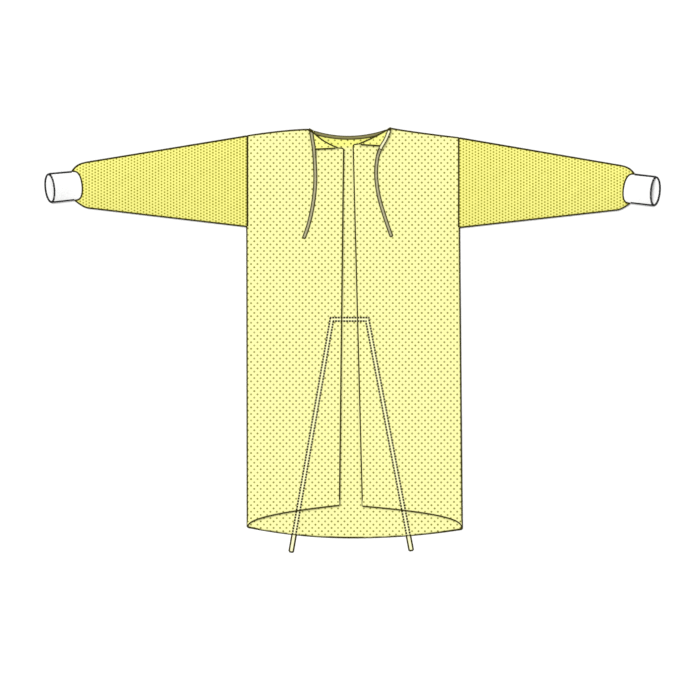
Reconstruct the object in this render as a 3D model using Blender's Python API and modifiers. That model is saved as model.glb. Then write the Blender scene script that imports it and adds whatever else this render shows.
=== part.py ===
"""Procedure gown laid flat, front down, with the open back on top.

Metres, +Z up. +X points to the gown's right sleeve and +Y to its neck. The
origin is on the table under the middle of the gown's bounding box. Left and
right are the wearer's, which are also the left and right of a view from above.
"""

from collections import namedtuple
from math import pi

import bmesh
import bpy
import numpy as np

MM = 0.001
WELD = 0.01 * MM
COLLECTION = "procedure_gown"

# Colours, linear
YELLOW = (0.93, 0.91, 0.42)
SLEEVE_YELLOW = (0.87, 0.84, 0.23)
RIB_WHITE = (0.90, 0.90, 0.88)
TAPE_OLIVE = (0.29, 0.27, 0.16)
BELT_CREAM = (0.92, 0.88, 0.62)

# Roughness
CLOTH_ROUGH = 0.9
KNIT_ROUGH = 0.95
TAPE_ROUGH = 0.85

# ---------------------------------------------------------------- cloth
CLOTH_WALL = 1.2 * MM          # nonwoven panel, as modelled
CUFF_WALL = 1.8 * MM           # doubled rib knit
TAPE_WALL = 1.1 * MM           # folded binding and belt strip
SEAM_GAP = 0.3 * MM            # between pieces that are sewn together
TAPE_GAP = 0.5 * MM            # under a tie that lies loose on a panel
JOINT_GAP = 0.7 * MM           # between sleeve and cuff, along the slanted seam

# ---------------------------------------------------------------- body
NECK_DIP = 20.0 * MM           # front neckline below the neck points
FRONT_HEM_LOW = -555.6 * MM    # lowest point of the front hem
CORNER_RADIUS = 5.0 * MM       # of the opening's rounded top corners

# Plan of one half of the body. x is signed: the wearer's left is negative.
Side = namedtuple("Side", [
    "name", "sign",
    "armhole_x", "hem_x",          # side edge at the armhole and at the hem
    "neck_x", "neck_y",            # neck point, where shoulder meets neckline
    "shoulder_y", "underarm_y",    # ends of the armhole seam
    "shoulder_bow",                # power of the shoulder's fall towards the arm
    "hem_corner_y",                # side seam's lower end
    "hem_sweep",                   # power of the back hem's rise from there
    "fold_x", "fold_y",            # lower end of the fold line, on the top edge
    "fold_sag",                    # how far the fold line bows in towards the panel
    "open_top_x", "open_top_y",    # top corner of the centre-back edge, before rounding
    "open_hem_x", "open_hem_y",    # centre-back edge at the back hem
    "lapel_along", "lapel_out",    # lapel tip: along the fold line, and off it
])
LEFT = Side("left", -1,
            -297.3 * MM, -296.0 * MM,
            -120.5 * MM, 593.5 * MM,
            575.6 * MM, 321.0 * MM,
            1.6,
            -526.0 * MM,
            0.46,
            -43.0 * MM, 541.5 * MM,
            6.0 * MM,
            -25.6 * MM, 541.0 * MM,
            -37.3 * MM, -464.5 * MM,
            40.2 * MM, 40.3 * MM)
RIGHT = Side("right", 1,
             300.5 * MM, 308.2 * MM,
             107.0 * MM, 597.0 * MM,
             570.0 * MM, 318.5 * MM,
             0.86,
             -531.7 * MM,
             0.37,
             18.0 * MM, 552.0 * MM,
             2.5 * MM,
             2.0 * MM, 551.5 * MM,
             28.0 * MM, -466.8 * MM,
             43.2 * MM, 37.7 * MM)

# ---------------------------------------------------------------- sleeves
SLEEVE_SIDE = 2.8 * MM         # height of the flattened sleeve at its folds
SLEEVE_CROWN = 3.3 * MM        # extra height along its middle
WRIST_LEAN = 0.35              # share of the neckward fold's way in to the cuff that is straight
WRIST_NECKWARD = 3.6           # power of the sleeve's rounding in to the cuff, on each side
WRIST_HEMWARD = 1.7
SEAM_BOW = 0.6                 # power of the cuff seam's bow: under 1 is fuller than an ellipse
CUFF_SIDE = 4.4 * MM           # height of the flattened cuff at its folds
CUFF_CROWN = 7.0 * MM          # extra height along the middle of its open end
JOINT_CROWN = 1.7 * MM         # the same where it is sewn to the sleeve
JOINT_TOP = 25.4 * MM          # upper layer of the cuff seam, set back up the arm
JOINT_UNDER = 2.8 * MM         # lower layer of the cuff seam, set towards the hand
MOUTH_SPLAY = 13.3 * MM        # half the length by which the cuff's two rims differ
FLAT_SHARE = 0.45              # sine below which a tube's section rounds to its fold

# One sleeve: the taper's end is where the rounding to the cuff begins. A tilt is how far
# a ring's neckward side lies towards the hand, for each metre across.
Sleeve = namedtuple("Sleeve", [
    "side",
    "taper_x", "taper_top_y", "taper_under_y",
    "joint_x", "joint_y", "joint_half", "joint_tilt",
    "mouth_x", "mouth_y", "mouth_half", "mouth_tilt",
])
SLEEVES = [
    Sleeve(LEFT, -741.6 * MM, 502.8 * MM, 373.2 * MM,
           -786.6 * MM, 435.8 * MM, 40.4 * MM, 0.09,
           -852.3 * MM, 429.0 * MM, 39.8 * MM, 0.10),
    Sleeve(RIGHT, 742.8 * MM, 494.4 * MM, 367.6 * MM,
           787.8 * MM, 427.9 * MM, 40.9 * MM, 0.14,
           852.3 * MM, 420.3 * MM, 40.0 * MM, 0.08),
]

# ---------------------------------------------------------------- lapels
FOLD_RADIUS = 2.2 * MM         # outside of the bend where a neck corner turns out
LAPEL_CLOSE = 4.0 * MM         # length at the fold's lower end over which the bend runs out

# ---------------------------------------------------------------- tapes
TAPE_WIDTH = 10.0 * MM         # neck binding and ties
BELT_WIDTH = 12.0 * MM
BELT_BAR_Y = 59.2 * MM
BELT_PATH = [                  # centre line, from one free end to the other
    (-173.3 * MM, -596.0 * MM),
    (-58.3 * MM, BELT_BAR_Y),
    (41.4 * MM, BELT_BAR_Y),
    (165.4 * MM, -592.0 * MM),
]
BINDING_INSET = 4.0 * MM       # neck binding's centre line, in from the neckline's edge
BELT_LIFT = TAPE_WALL + SEAM_GAP
RIDGE_FLAT = 1.5 * MM          # the front stays lifted this far past the belt
RIDGE_FADE = 14.0 * MM         # and comes down to the table over this width
TIE_FOOT = 30.0 * MM           # a tie lies on the panel this far below the lapel's tip
TIE_RAMP = 24.0 * MM           # and has climbed onto the lapel after this length

# Centre line of each tie in plan, from the neck point to its free end.
TIE_ROUTES = {
    "left": [
        (-117.0 * MM, 591.0 * MM),
        (-113.5 * MM, 568.0 * MM),
        (-108.9 * MM, 537.0 * MM),
        (-105.8 * MM, 489.0 * MM),
        (-105.0 * MM, 452.0 * MM),
        (-108.0 * MM, 410.0 * MM),
        (-114.5 * MM, 367.0 * MM),
        (-125.0 * MM, 323.0 * MM),
        (-137.2 * MM, 288.0 * MM),
    ],
    "right": [
        (103.8 * MM, 591.5 * MM),
        (92.5 * MM, 565.0 * MM),
        (80.0 * MM, 543.5 * MM),
        (70.5 * MM, 517.0 * MM),
        (66.2 * MM, 478.0 * MM),
        (68.4 * MM, 440.0 * MM),
        (76.0 * MM, 397.0 * MM),
        (91.0 * MM, 347.0 * MM),
        (109.5 * MM, 293.0 * MM),
    ],
}

# ---------------------------------------------------------------- how the back lies
BACK_RISE = 2.0 * MM           # the back stands this far off the front, past its seams
SIDE_RISE_WIDTH = 45.0 * MM
SHOULDER_RISE_WIDTH = 60.0 * MM
SEWN_SPREAD = 1.6              # how soon along the shoulder its seam holds the back down
ARMHOLE_FADE = 90.0 * MM

# Broad soft folds of the back: a ridge (or, with a negative height, a trough)
# between two points in plan, fading at its ends.
Crease = namedtuple("Crease", ["x0", "y0", "x1", "y1", "height", "width"])
CREASE_FADE = 0.3              # share of a fold's length over which each end fades
BACK_CREASES = [
    Crease(-235 * MM, 300 * MM, -150 * MM, 80 * MM, 0.9 * MM, 30 * MM),
    Crease(-75 * MM, 190 * MM, -95 * MM, -210 * MM, -0.7 * MM, 34 * MM),
    Crease(-215 * MM, -120 * MM, -235 * MM, -400 * MM, 0.8 * MM, 32 * MM),
    Crease(240 * MM, 290 * MM, 175 * MM, 100 * MM, 0.8 * MM, 28 * MM),
    Crease(95 * MM, 130 * MM, 85 * MM, -170 * MM, -0.7 * MM, 36 * MM),
    Crease(225 * MM, -60 * MM, 250 * MM, -380 * MM, 0.9 * MM, 34 * MM),
]
SLEEVE_CREASES = [
    Crease(-340 * MM, 400 * MM, -430 * MM, 470 * MM, -0.8 * MM, 22 * MM),
    Crease(-520 * MM, 490 * MM, -590 * MM, 400 * MM, -0.9 * MM, 24 * MM),
    Crease(-665 * MM, 400 * MM, -735 * MM, 455 * MM, -0.7 * MM, 20 * MM),
    Crease(345 * MM, 385 * MM, 425 * MM, 465 * MM, -0.8 * MM, 24 * MM),
    Crease(545 * MM, 480 * MM, 600 * MM, 395 * MM, -0.8 * MM, 22 * MM),
    Crease(670 * MM, 395 * MM, 730 * MM, 450 * MM, -0.7 * MM, 20 * MM),
]

# ---------------------------------------------------------------- faces
FRONT_COLUMNS = [6, 1, 1, 1, 3, 1, 1, 1, 6]    # between the front's column lines
FRONT_ROWS = [13, 5, 6]                        # hem to belt, belt to underarm, underarm to top
BACK_ROWS = [17, 9]                            # hem to underarm, underarm to top
SHOULDER_COLUMNS = 7
SHOULDER_CROWDING = 1.1                        # power that sets its columns nearer the armhole
LAPEL_NECK_SHARES = [0.0, 0.35, 0.7]           # column places before the lapel's tip
LAPEL_OPEN_SHARES = [0.0, 0.35, 0.7, 1.0]      # and from its tip to where the bend runs out
CORNER_SHARES = [0.0, 0.45, 0.8, 0.96, 1.0]    # and round the opening's corner
LAPEL_ROWS = 4
FOLD_STEPS = 6                                 # round the lapel's bend
AROUND = 28                                    # round a sleeve or a cuff
TAPER_RINGS = 9
WRIST_SHARES = [0.3, 0.55, 0.73, 0.86, 0.95, 1.0]    # rings that round in to the cuff
CUFF_RINGS = 5
BINDING_POINTS = 17
TIE_STEPS = 4                                  # between two points of a tie's route


# ---------------------------------------------------------------- curves in plan
def smooth(t):
    """0 below t = 0, 1 above t = 1, and an S-shaped step between."""
    t = np.clip(t, 0.0, 1.0)
    return t * t * (3.0 - 2.0 * t)


def side_x(side, y):
    """x of the body's side edge at height y: straight below the armhole."""
    return np.interp(y, [side.hem_corner_y, side.underarm_y], [side.hem_x, side.armhole_x])


def shoulder_line(side, x):
    """y of the shoulder seam at x, from the neck point out to the armhole."""
    share = np.clip((x - side.neck_x) / (side.armhole_x - side.neck_x), 0.0, 1.0)
    return side.neck_y - (side.neck_y - side.shoulder_y) * share ** side.shoulder_bow


def front_top(x):
    """y of the front's top edge: shoulders, with the neckline dipping between them."""
    share = np.clip((x - LEFT.neck_x) / (RIGHT.neck_x - LEFT.neck_x), 0.0, 1.0)
    chord = LEFT.neck_y + (RIGHT.neck_y - LEFT.neck_y) * share
    neckline = chord - NECK_DIP * 4.0 * share * (1.0 - share)
    shoulders = np.where(x < 0.0, shoulder_line(LEFT, x), shoulder_line(RIGHT, x))
    inside = (x > LEFT.neck_x) & (x < RIGHT.neck_x)
    return np.where(inside, neckline, shoulders)


def front_hem(x):
    """y of the front hem: a parabola from each side corner to the low middle."""
    half_width = np.where(x < 0.0, -LEFT.hem_x, RIGHT.hem_x)
    corner_y = np.where(x < 0.0, LEFT.hem_corner_y, RIGHT.hem_corner_y)
    return FRONT_HEM_LOW + (corner_y - FRONT_HEM_LOW) * np.clip(np.abs(x) / half_width, 0, 1) ** 2


def back_hem(side, x):
    """y of the back hem: quick to rise at the side seam, then level at the opening."""
    share = np.clip((x - side.hem_x) / (side.open_hem_x - side.hem_x), 0.0, 1.0)
    return side.hem_corner_y + (side.open_hem_y - side.hem_corner_y) * share ** side.hem_sweep


def segment_distance(x, y, ax, ay, bx, by):
    """Distance from (x, y) to the segment from a to b, and the share along it."""
    length2 = (bx - ax) ** 2 + (by - ay) ** 2
    along = ((x - ax) * (bx - ax) + (y - ay) * (by - ay)) / length2
    near = np.clip(along, 0.0, 1.0)
    return np.hypot(x - ax - near * (bx - ax), y - ay - near * (by - ay)), along


def crease_height(creases, x, y):
    """Sum of the soft folds: a bell across each one, an S-step in from its ends."""
    total = np.zeros_like(x)
    for fold in creases:
        off, along = segment_distance(x, y, fold.x0, fold.y0, fold.x1, fold.y1)
        ends = smooth(along / CREASE_FADE + 0.5) * smooth((1.0 - along) / CREASE_FADE + 0.5)
        total = total + fold.height * np.exp(-(off / fold.width) ** 2) * ends
    return total


# ---------------------------------------------------------------- heights
def belt_lift(x, y):
    """Height of the front's underside: it rides over the belt, and lies flat elsewhere."""
    off = np.full_like(x, 1.0)
    for (ax, ay), (bx, by) in zip(BELT_PATH[:-1], BELT_PATH[1:]):
        off = np.minimum(off, segment_distance(x, y, ax, ay, bx, by)[0])
    return BELT_LIFT * smooth(1.0 - (off - BELT_WIDTH / 2 - RIDGE_FLAT) / RIDGE_FADE)


def back_under(side, x, y):
    """Height of a back panel's underside over the table.

    It starts a seam's gap over the front, and rises past the side and shoulder
    seams; along the armhole it follows the flattened sleeve's section.
    """
    off_side = np.abs(x - side_x(side, y))
    off_shoulder = shoulder_line(side, x) - y
    sewn = smooth((x - side.neck_x) / (side.armhole_x - side.neck_x) * SEWN_SPREAD)
    rise = BACK_RISE * smooth(off_side / SIDE_RISE_WIDTH)
    rise = rise * (1.0 - sewn * (1.0 - smooth(off_shoulder / SHOULDER_RISE_WIDTH)))
    middle = (side.shoulder_y + side.underarm_y) / 2
    half = (side.shoulder_y - side.underarm_y) / 2
    section = SLEEVE_CROWN * np.clip(1.0 - ((y - middle) / half) ** 2, 0.0, 1.0)
    rise = rise + section * (1.0 - smooth(off_side / ARMHOLE_FADE))
    away = smooth(off_side / SIDE_RISE_WIDTH) * smooth(off_shoulder / SHOULDER_RISE_WIDTH)
    rise = rise + crease_height(BACK_CREASES, x, y) * away
    return CLOTH_WALL + SEAM_GAP + rise


# ---------------------------------------------------------------- mesh helpers
def clear_scene():
    for item in list(bpy.data.objects):
        bpy.data.objects.remove(item, do_unlink=True)


def plain_material(name, color, roughness):
    material = bpy.data.materials.new(name)
    material.use_nodes = True
    shader = material.node_tree.nodes["Principled BSDF"]
    shader.inputs["Base Color"].default_value = (*color, 1.0)
    shader.inputs["Roughness"].default_value = roughness
    shader.inputs["Metallic"].default_value = 0.0
    return material


def add_grid(bm, points):
    """Add a grid of faces whose corner (i, j) lies at points[i, j]."""
    rows, columns = points.shape[:2]
    made = bmesh.ops.create_grid(bm, x_segments=rows - 1, y_segments=columns - 1, size=1.0)
    for vert in made["verts"]:
        i = round((vert.co.x + 1.0) / 2.0 * (rows - 1))
        j = round((vert.co.y + 1.0) / 2.0 * (columns - 1))
        vert.co = points[i, j]


def finish_object(bm, name, color, roughness):
    """Weld the grid's seams, and put the mesh in the gown's collection."""
    bmesh.ops.remove_doubles(bm, verts=bm.verts, dist=WELD)
    mesh = bpy.data.meshes.new(name)
    bm.to_mesh(mesh)
    bm.free()
    mesh.materials.append(plain_material(name, color, roughness))
    thing = bpy.data.objects.new(name, mesh)
    bpy.data.collections[COLLECTION].objects.link(thing)
    return thing


def thicken(thing, wall):
    """Give an open sheet its wall, on the side that its faces point to."""
    solid = thing.modifiers.new("wall", "SOLIDIFY")
    solid.thickness = wall
    solid.offset = 1.0
    return thing


# ---------------------------------------------------------------- panels
def front_lines():
    """Column lines of the front, each by its x at the neck, underarm, belt bar and hem.

    Lines run beside each belt tail, so that the cloth's ridge over it is exact.
    """
    edge = BELT_WIDTH / 2 + RIDGE_FLAT
    foot = edge + RIDGE_FADE
    (left_end, left_low), (left_bar, _), (right_bar, _), (right_end, right_low) = BELT_PATH
    to_hem = BELT_BAR_Y - FRONT_HEM_LOW
    left_slant = (left_end - left_bar) * to_hem / (BELT_BAR_Y - left_low)
    right_slant = (right_end - right_bar) * to_hem / (BELT_BAR_Y - right_low)
    beside = np.array([-foot, -edge, edge, foot])
    bar = np.concatenate([left_bar + beside, right_bar + beside])
    slant = np.repeat([left_slant, right_slant], len(beside))
    neck = np.linspace(LEFT.neck_x, RIGHT.neck_x, len(bar))
    underarm = bar + (neck - bar) * (LEFT.underarm_y - BELT_BAR_Y) / (LEFT.neck_y - BELT_BAR_Y)
    keys = [[LEFT.armhole_x, LEFT.armhole_x, side_x(LEFT, BELT_BAR_Y), LEFT.hem_x]]
    keys += [list(line) for line in zip(neck, underarm, bar, bar + slant)]
    keys += [[RIGHT.armhole_x, RIGHT.armhole_x, side_x(RIGHT, BELT_BAR_Y), RIGHT.hem_x]]
    keys = np.array(keys)
    lines = []
    for here, there, faces in zip(keys[:-1], keys[1:], FRONT_COLUMNS):
        for step in range(faces):
            lines.append(here + (there - here) * step / faces)
    lines.append(keys[-1])
    return lines


def build_front():
    """The front: a grid over its whole outline, lifted over the belt."""
    edge = BELT_WIDTH / 2 + RIDGE_FLAT
    foot = edge + RIDGE_FADE
    bar = BELT_BAR_Y + np.array([-foot, -edge, edge, foot])
    points = []
    for at_neck, at_underarm, at_bar, at_hem in front_lines():
        low = float(front_hem(np.array(at_hem)))
        high = float(front_top(np.array(at_neck)))
        across = (at_underarm - LEFT.armhole_x) / (RIGHT.armhole_x - LEFT.armhole_x)
        underarm = LEFT.underarm_y + (RIGHT.underarm_y - LEFT.underarm_y) * across
        y = np.concatenate([
            np.linspace(low, bar[0], FRONT_ROWS[0]),
            bar[1:],
            np.linspace(bar[3], underarm, FRONT_ROWS[1])[1:],
            np.linspace(underarm, high, FRONT_ROWS[2])[1:],
        ])
        x = np.interp(y, [low, BELT_BAR_Y, underarm, high], [at_hem, at_bar, at_underarm, at_neck])
        points.append(np.stack([x, y, belt_lift(x, y)], axis=-1))
    bm = bmesh.new()
    add_grid(bm, np.array(points))
    return thicken(finish_object(bm, "front_panel", YELLOW, CLOTH_ROUGH), CLOTH_WALL)


def fold_frame(side):
    """The fold's chord: its start, direction and length, and the outward normal in plan."""
    start = np.array([side.neck_x, side.neck_y])
    run = np.array([side.fold_x, side.fold_y]) - start
    length = float(np.hypot(*run))
    run = run / length
    out = np.array([run[1], -run[0]]) * side.sign
    return start, run, length, out


def fold_sag(side, along):
    """How far the fold line sags from its chord at a distance along it: a parabola."""
    share = along / fold_frame(side)[2]
    return 4.0 * side.fold_sag * share * (1.0 - share)


def fold_line(side, along):
    """Points of the fold line at distances along its chord."""
    start, run, _, out = fold_frame(side)
    return start + along[..., None] * run - fold_sag(side, along)[..., None] * out


def lapel_width(side, along):
    """Width of the turned-out corner in the flat cloth at distances along the fold.

    It grows evenly from the neck point to the tip. From there its lower edge is
    straight in plan to the fold's lower end, where the bend runs out.
    """
    length = fold_frame(side)[2]
    tip_off = side.lapel_out - pi * FOLD_RADIUS + fold_sag(side, side.lapel_along)
    past = tip_off * (length - along) / (length - side.lapel_along) - fold_sag(side, along)
    bend = pi * FOLD_RADIUS * np.clip((length - along) / LAPEL_CLOSE, 0.0, 1.0)
    neckward = side.lapel_out * along / side.lapel_along
    return np.where(along < side.lapel_along, neckward, bend + past)


def lapel_steps(side, along):
    """Distances from the fold line in the flat cloth: round the bend, then to the edge."""
    width = float(lapel_width(side, along))
    bend = np.linspace(0.0, pi * FOLD_RADIUS, FOLD_STEPS + 1)
    flat = np.linspace(pi * FOLD_RADIUS, max(width, pi * FOLD_RADIUS), LAPEL_ROWS)[1:]
    return np.minimum(np.concatenate([bend, flat]), width)


def folded(side, along, out_by):
    """Where a point of the lapel lies once the corner is turned out over the panel.

    Past the fold line the cloth goes round a half circle and then lies back
    over the panel, as far from the fold as it was long.
    """
    _, _, _, out = fold_frame(side)
    turn = np.minimum(out_by / FOLD_RADIUS, pi)
    beyond = FOLD_RADIUS * np.sin(turn) - np.maximum(out_by - pi * FOLD_RADIUS, 0.0)
    plan = fold_line(side, along) + beyond[..., None] * out
    base = back_under(side, plan[..., 0], plan[..., 1])
    height = base + FOLD_RADIUS * (1.0 - np.cos(turn))
    return np.concatenate([plan, height[..., None]], axis=-1)


def back_columns(side):
    """Top end of each of the panel's columns, side seam to opening.

    The outer ones run up to the shoulder, the next to the fold line, whose
    distances along it come third, and the last to the opening's rounded corner.
    """
    _, _, length, _ = fold_frame(side)
    out_share = np.linspace(0.0, 1.0, SHOULDER_COLUMNS, endpoint=False) ** SHOULDER_CROWDING
    shoulder = side.armhole_x + (side.neck_x - side.armhole_x) * out_share
    stops = np.concatenate([
        side.lapel_along * np.array(LAPEL_NECK_SHARES),
        side.lapel_along + (length - LAPEL_CLOSE - side.lapel_along) * np.array(LAPEL_OPEN_SHARES),
        [length],
    ])
    fold = fold_line(side, stops)
    round_in = np.array(CORNER_SHARES) * CORNER_RADIUS
    corner_x = side.open_top_x + side.sign * (CORNER_RADIUS - round_in)
    corner_y = side.open_top_y - CORNER_RADIUS + np.sqrt(CORNER_RADIUS ** 2 - round_in ** 2)
    top_x = np.concatenate([shoulder, fold[:, 0], corner_x])
    top_y = np.concatenate([shoulder_line(side, shoulder), fold[:, 1], corner_y])
    return top_x, top_y, stops


def build_back(side):
    """A back panel: a grid from hem to shoulder and fold line, and its lapel past the fold."""
    top_x, top_y, stops = back_columns(side)
    share = (top_x - side.armhole_x) / (side.open_top_x - side.armhole_x)
    hem_x = side.hem_x + (side.open_hem_x - side.hem_x) * share
    hem_y = back_hem(side, hem_x)
    underarm = (side.underarm_y - side.hem_corner_y) / (side.shoulder_y - side.hem_corner_y)
    up = np.concatenate([
        np.linspace(0.0, underarm, BACK_ROWS[0]),
        np.linspace(underarm, 1.0, BACK_ROWS[1])[1:],
    ])
    side_edge = side_x(side, side.hem_corner_y + (side.shoulder_y - side.hem_corner_y) * up)
    open_edge = side.open_hem_x + (side.open_top_x - side.open_hem_x) * up
    points = []
    for part, low, high in zip(share, hem_y, top_y):
        x = side_edge + (open_edge - side_edge) * part
        y = low + (high - low) * up
        points.append(np.stack([x, y, back_under(side, x, y)], axis=-1))
    lapel = []
    for along in stops:
        out_by = lapel_steps(side, along)
        lapel.append(folded(side, np.full_like(out_by, along), out_by))
    bm = bmesh.new()
    add_grid(bm, np.array(points))
    add_grid(bm, np.array(lapel))
    bmesh.ops.remove_doubles(bm, verts=bm.verts, dist=WELD)
    if side.sign > 0:
        bmesh.ops.reverse_faces(bm, faces=bm.faces)
    name = f"back_panel_{side.name}"
    return thicken(finish_object(bm, name, YELLOW, CLOTH_ROUGH), CLOTH_WALL)


# ---------------------------------------------------------------- sleeves and cuffs
def tube_ring(x, y, half, side_height, crown, shift_top, shift_under, bow, tilt, inset,
              creases=()):
    """One ring of a flattened tube, flat on the table, with a low crown on top.

    The angle runs from the neckward fold over the top. Its cosine sets the
    place across, and its sine the height and, to the power of the bow, how far
    the layer is shifted along the arm. A tilt slants the ring in plan. An inset
    ring lies that far inside.
    """
    angle = np.linspace(0.0, 2.0 * pi, AROUND, endpoint=False)
    sine = np.sin(angle)
    across = (half - inset) * np.cos(angle)
    fullness = np.sqrt(np.clip(np.abs(sine) / FLAT_SHARE, 0.0, 1.0))
    upper = np.clip(sine, 0.0, 1.0)
    height = side_height / 2 + (side_height / 2 - inset) * fullness * np.sign(sine)
    under = np.clip(-sine, 0.0, 1.0)
    along = x + shift_top * upper ** bow + shift_under * under ** bow + tilt * across
    relief = crown + crease_height(creases, along, y + across) if len(creases) else crown
    height = height + relief * upper ** 2
    return np.stack([along, y + across, height], axis=-1)


def loft_wall(name, outer, inner, sign, color, roughness):
    """A tube's wall from its outer and inner rings, joined at both ends."""
    rings = np.array(outer + inner[::-1])
    rings = np.concatenate([rings, rings[:1]])
    rings = np.concatenate([rings, rings[:, :1]], axis=1)
    bm = bmesh.new()
    add_grid(bm, rings)
    bmesh.ops.remove_doubles(bm, verts=bm.verts, dist=WELD)
    if sign > 0:
        bmesh.ops.reverse_faces(bm, faces=bm.faces)
    return finish_object(bm, name, color, roughness)


def sleeve_rings(sleeve, inset):
    """Rings from the armhole to the cuff seam: a straight taper, then a rounded end."""
    side = sleeve.side
    armhole_x = side.armhole_x + side.sign * SEAM_GAP
    rings = []
    middle_a = (side.shoulder_y + side.underarm_y) / 2
    half_a = (side.shoulder_y - side.underarm_y) / 2
    middle_t = (sleeve.taper_top_y + sleeve.taper_under_y) / 2
    half_t = (sleeve.taper_top_y - sleeve.taper_under_y) / 2
    total_height = SLEEVE_SIDE + SLEEVE_CROWN
    for share in np.linspace(0.0, 1.0, TAPER_RINGS):
        x = armhole_x + (sleeve.taper_x - armhole_x) * share
        rings.append((x, middle_a + (middle_t - middle_a) * share,
                      half_a + (half_t - half_a) * share, SLEEVE_SIDE, 0.0))
    for share in WRIST_SHARES:
        x = sleeve.taper_x + (sleeve.joint_x - sleeve.taper_x) * share
        rounded = WRIST_LEAN * share + (1.0 - WRIST_LEAN) * share ** WRIST_NECKWARD
        neckward = sleeve.joint_y + sleeve.joint_half
        neckward += (sleeve.taper_top_y - neckward) * (1.0 - rounded)
        hemward = sleeve.joint_y - sleeve.joint_half
        hemward += (sleeve.taper_under_y - hemward) * (1.0 - share ** WRIST_HEMWARD)
        height = SLEEVE_SIDE + (CUFF_SIDE - SLEEVE_SIDE) * share
        rings.append((x, (neckward + hemward) / 2, (neckward - hemward) / 2, height, share))
    made = []
    for x, y, half, height, shift in rings:
        made.append(tube_ring(
            x, y, half, height, total_height - height,
            -side.sign * JOINT_TOP * shift, side.sign * JOINT_UNDER * shift, SEAM_BOW,
            side.sign * sleeve.joint_tilt * shift,
            inset, SLEEVE_CREASES if shift == 0.0 and x != armhole_x else (),
        ))
    return made


def cuff_rings(sleeve, inside):
    """Rings from the sleeve's end to the open mouth, whose rims are splayed apart.

    The wall starts as thin as the sleeve's, a seam's gap inside its end.
    """
    side = sleeve.side
    start_x = sleeve.joint_x + side.sign * JOINT_GAP
    start_half = sleeve.joint_half - 2.0 * JOINT_GAP
    made = []
    for share in np.linspace(0.0, 1.0, CUFF_RINGS):
        inset = (CLOTH_WALL + (CUFF_WALL - CLOTH_WALL) * min(1.0, 2.0 * share)) * inside
        made.append(tube_ring(
            start_x + (sleeve.mouth_x - start_x) * share,
            sleeve.joint_y + (sleeve.mouth_y - sleeve.joint_y) * share,
            start_half + (sleeve.mouth_half - start_half) * share,
            CUFF_SIDE,
            JOINT_CROWN + (CUFF_CROWN - JOINT_CROWN) * smooth(share),
            -side.sign * (JOINT_TOP + (MOUTH_SPLAY - JOINT_TOP) * share),
            side.sign * (JOINT_UNDER + (MOUTH_SPLAY - JOINT_UNDER) * share),
            SEAM_BOW + (1.0 - SEAM_BOW) * share,
            side.sign * (sleeve.joint_tilt + (sleeve.mouth_tilt - sleeve.joint_tilt) * share),
            inset,
        ))
    return made


def build_sleeve(sleeve):
    name = f"sleeve_{sleeve.side.name}"
    outer = sleeve_rings(sleeve, 0.0)
    inner = sleeve_rings(sleeve, CLOTH_WALL)
    return loft_wall(name, outer, inner, sleeve.side.sign, SLEEVE_YELLOW, CLOTH_ROUGH)


def build_cuff(sleeve):
    name = f"cuff_{sleeve.side.name}"
    outer = cuff_rings(sleeve, 0)
    inner = cuff_rings(sleeve, 1)
    return loft_wall(name, outer, inner, sleeve.side.sign, RIB_WHITE, KNIT_ROUGH)


# ---------------------------------------------------------------- tapes
def curve_through(points, steps):
    """A smooth curve through the points (Catmull-Rom), with so many steps between two."""
    points = np.array(points)
    padded = np.vstack([2 * points[0] - points[1], points, 2 * points[-1] - points[-2]])
    made = []
    for a, b, c, d in zip(padded[:-3], padded[1:-2], padded[2:-1], padded[3:]):
        t = np.linspace(0.0, 1.0, steps, endpoint=False)[:, None]
        made.append(0.5 * (2 * b + (c - a) * t + (2 * a - 5 * b + 4 * c - d) * t ** 2
                           + (3 * b - a - 3 * c + d) * t ** 3))
    made.append(points[-1:])
    return np.concatenate(made)


def strip_edges(path, width):
    """The two edges of a strip along a path in plan, mitred at its corners."""
    run = np.diff(path, axis=0)
    run = run / np.hypot(run[:, 0], run[:, 1])[:, None]
    before = np.vstack([run[:1], run])
    after = np.vstack([run, run[-1:]])
    bisector = before + after
    bisector = bisector / np.hypot(bisector[:, 0], bisector[:, 1])[:, None]
    normal = np.stack([-bisector[:, 1], bisector[:, 0]], axis=-1)
    reach = width / 2 / np.sum(bisector * before, axis=1)
    return path + normal * reach[:, None], path - normal * reach[:, None]


def build_strip(name, path, width, height, color):
    """A flat strip along a path in plan; height(x, y) is its underside's, at each corner."""
    left, right = strip_edges(path, width)
    points = []
    for edge in (right, left):
        points.append(np.column_stack([edge, height(edge[:, 0], edge[:, 1])]))
    bm = bmesh.new()
    add_grid(bm, np.array(points).transpose(1, 0, 2))
    return thicken(finish_object(bm, name, color, TAPE_ROUGH), TAPE_WALL)


def build_neck_binding():
    """The tape along the front neckline, on the front's upper face."""
    x = np.linspace(LEFT.neck_x + TAPE_WIDTH, RIGHT.neck_x - TAPE_WIDTH, BINDING_POINTS)
    path = np.column_stack([x, front_top(x) - BINDING_INSET])
    return build_strip("neck_binding", path, TAPE_WIDTH,
                       lambda x, y: np.full_like(x, CLOTH_WALL + SEAM_GAP), TAPE_OLIVE)


def build_neck_tie(side):
    """Tape over the lapel's neck edge that runs on as a free tie on the panel."""
    path = curve_through(TIE_ROUTES[side.name], TIE_STEPS)
    _, _, _, out = fold_frame(side)
    at_fold = fold_line(side, np.array(side.lapel_along))
    tip = at_fold - (side.lapel_out - pi * FOLD_RADIUS) * out

    def height(x, y):
        over_lapel = smooth((y - tip[1] + TIE_FOOT) / TIE_RAMP)
        lapel_top = 2.0 * FOLD_RADIUS + TAPE_GAP
        panel_top = CLOTH_WALL + TAPE_GAP
        return back_under(side, x, y) + panel_top + (lapel_top - panel_top) * over_lapel

    return build_strip(f"neck_tie_{side.name}", path, TAPE_WIDTH, height, TAPE_OLIVE)


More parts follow.
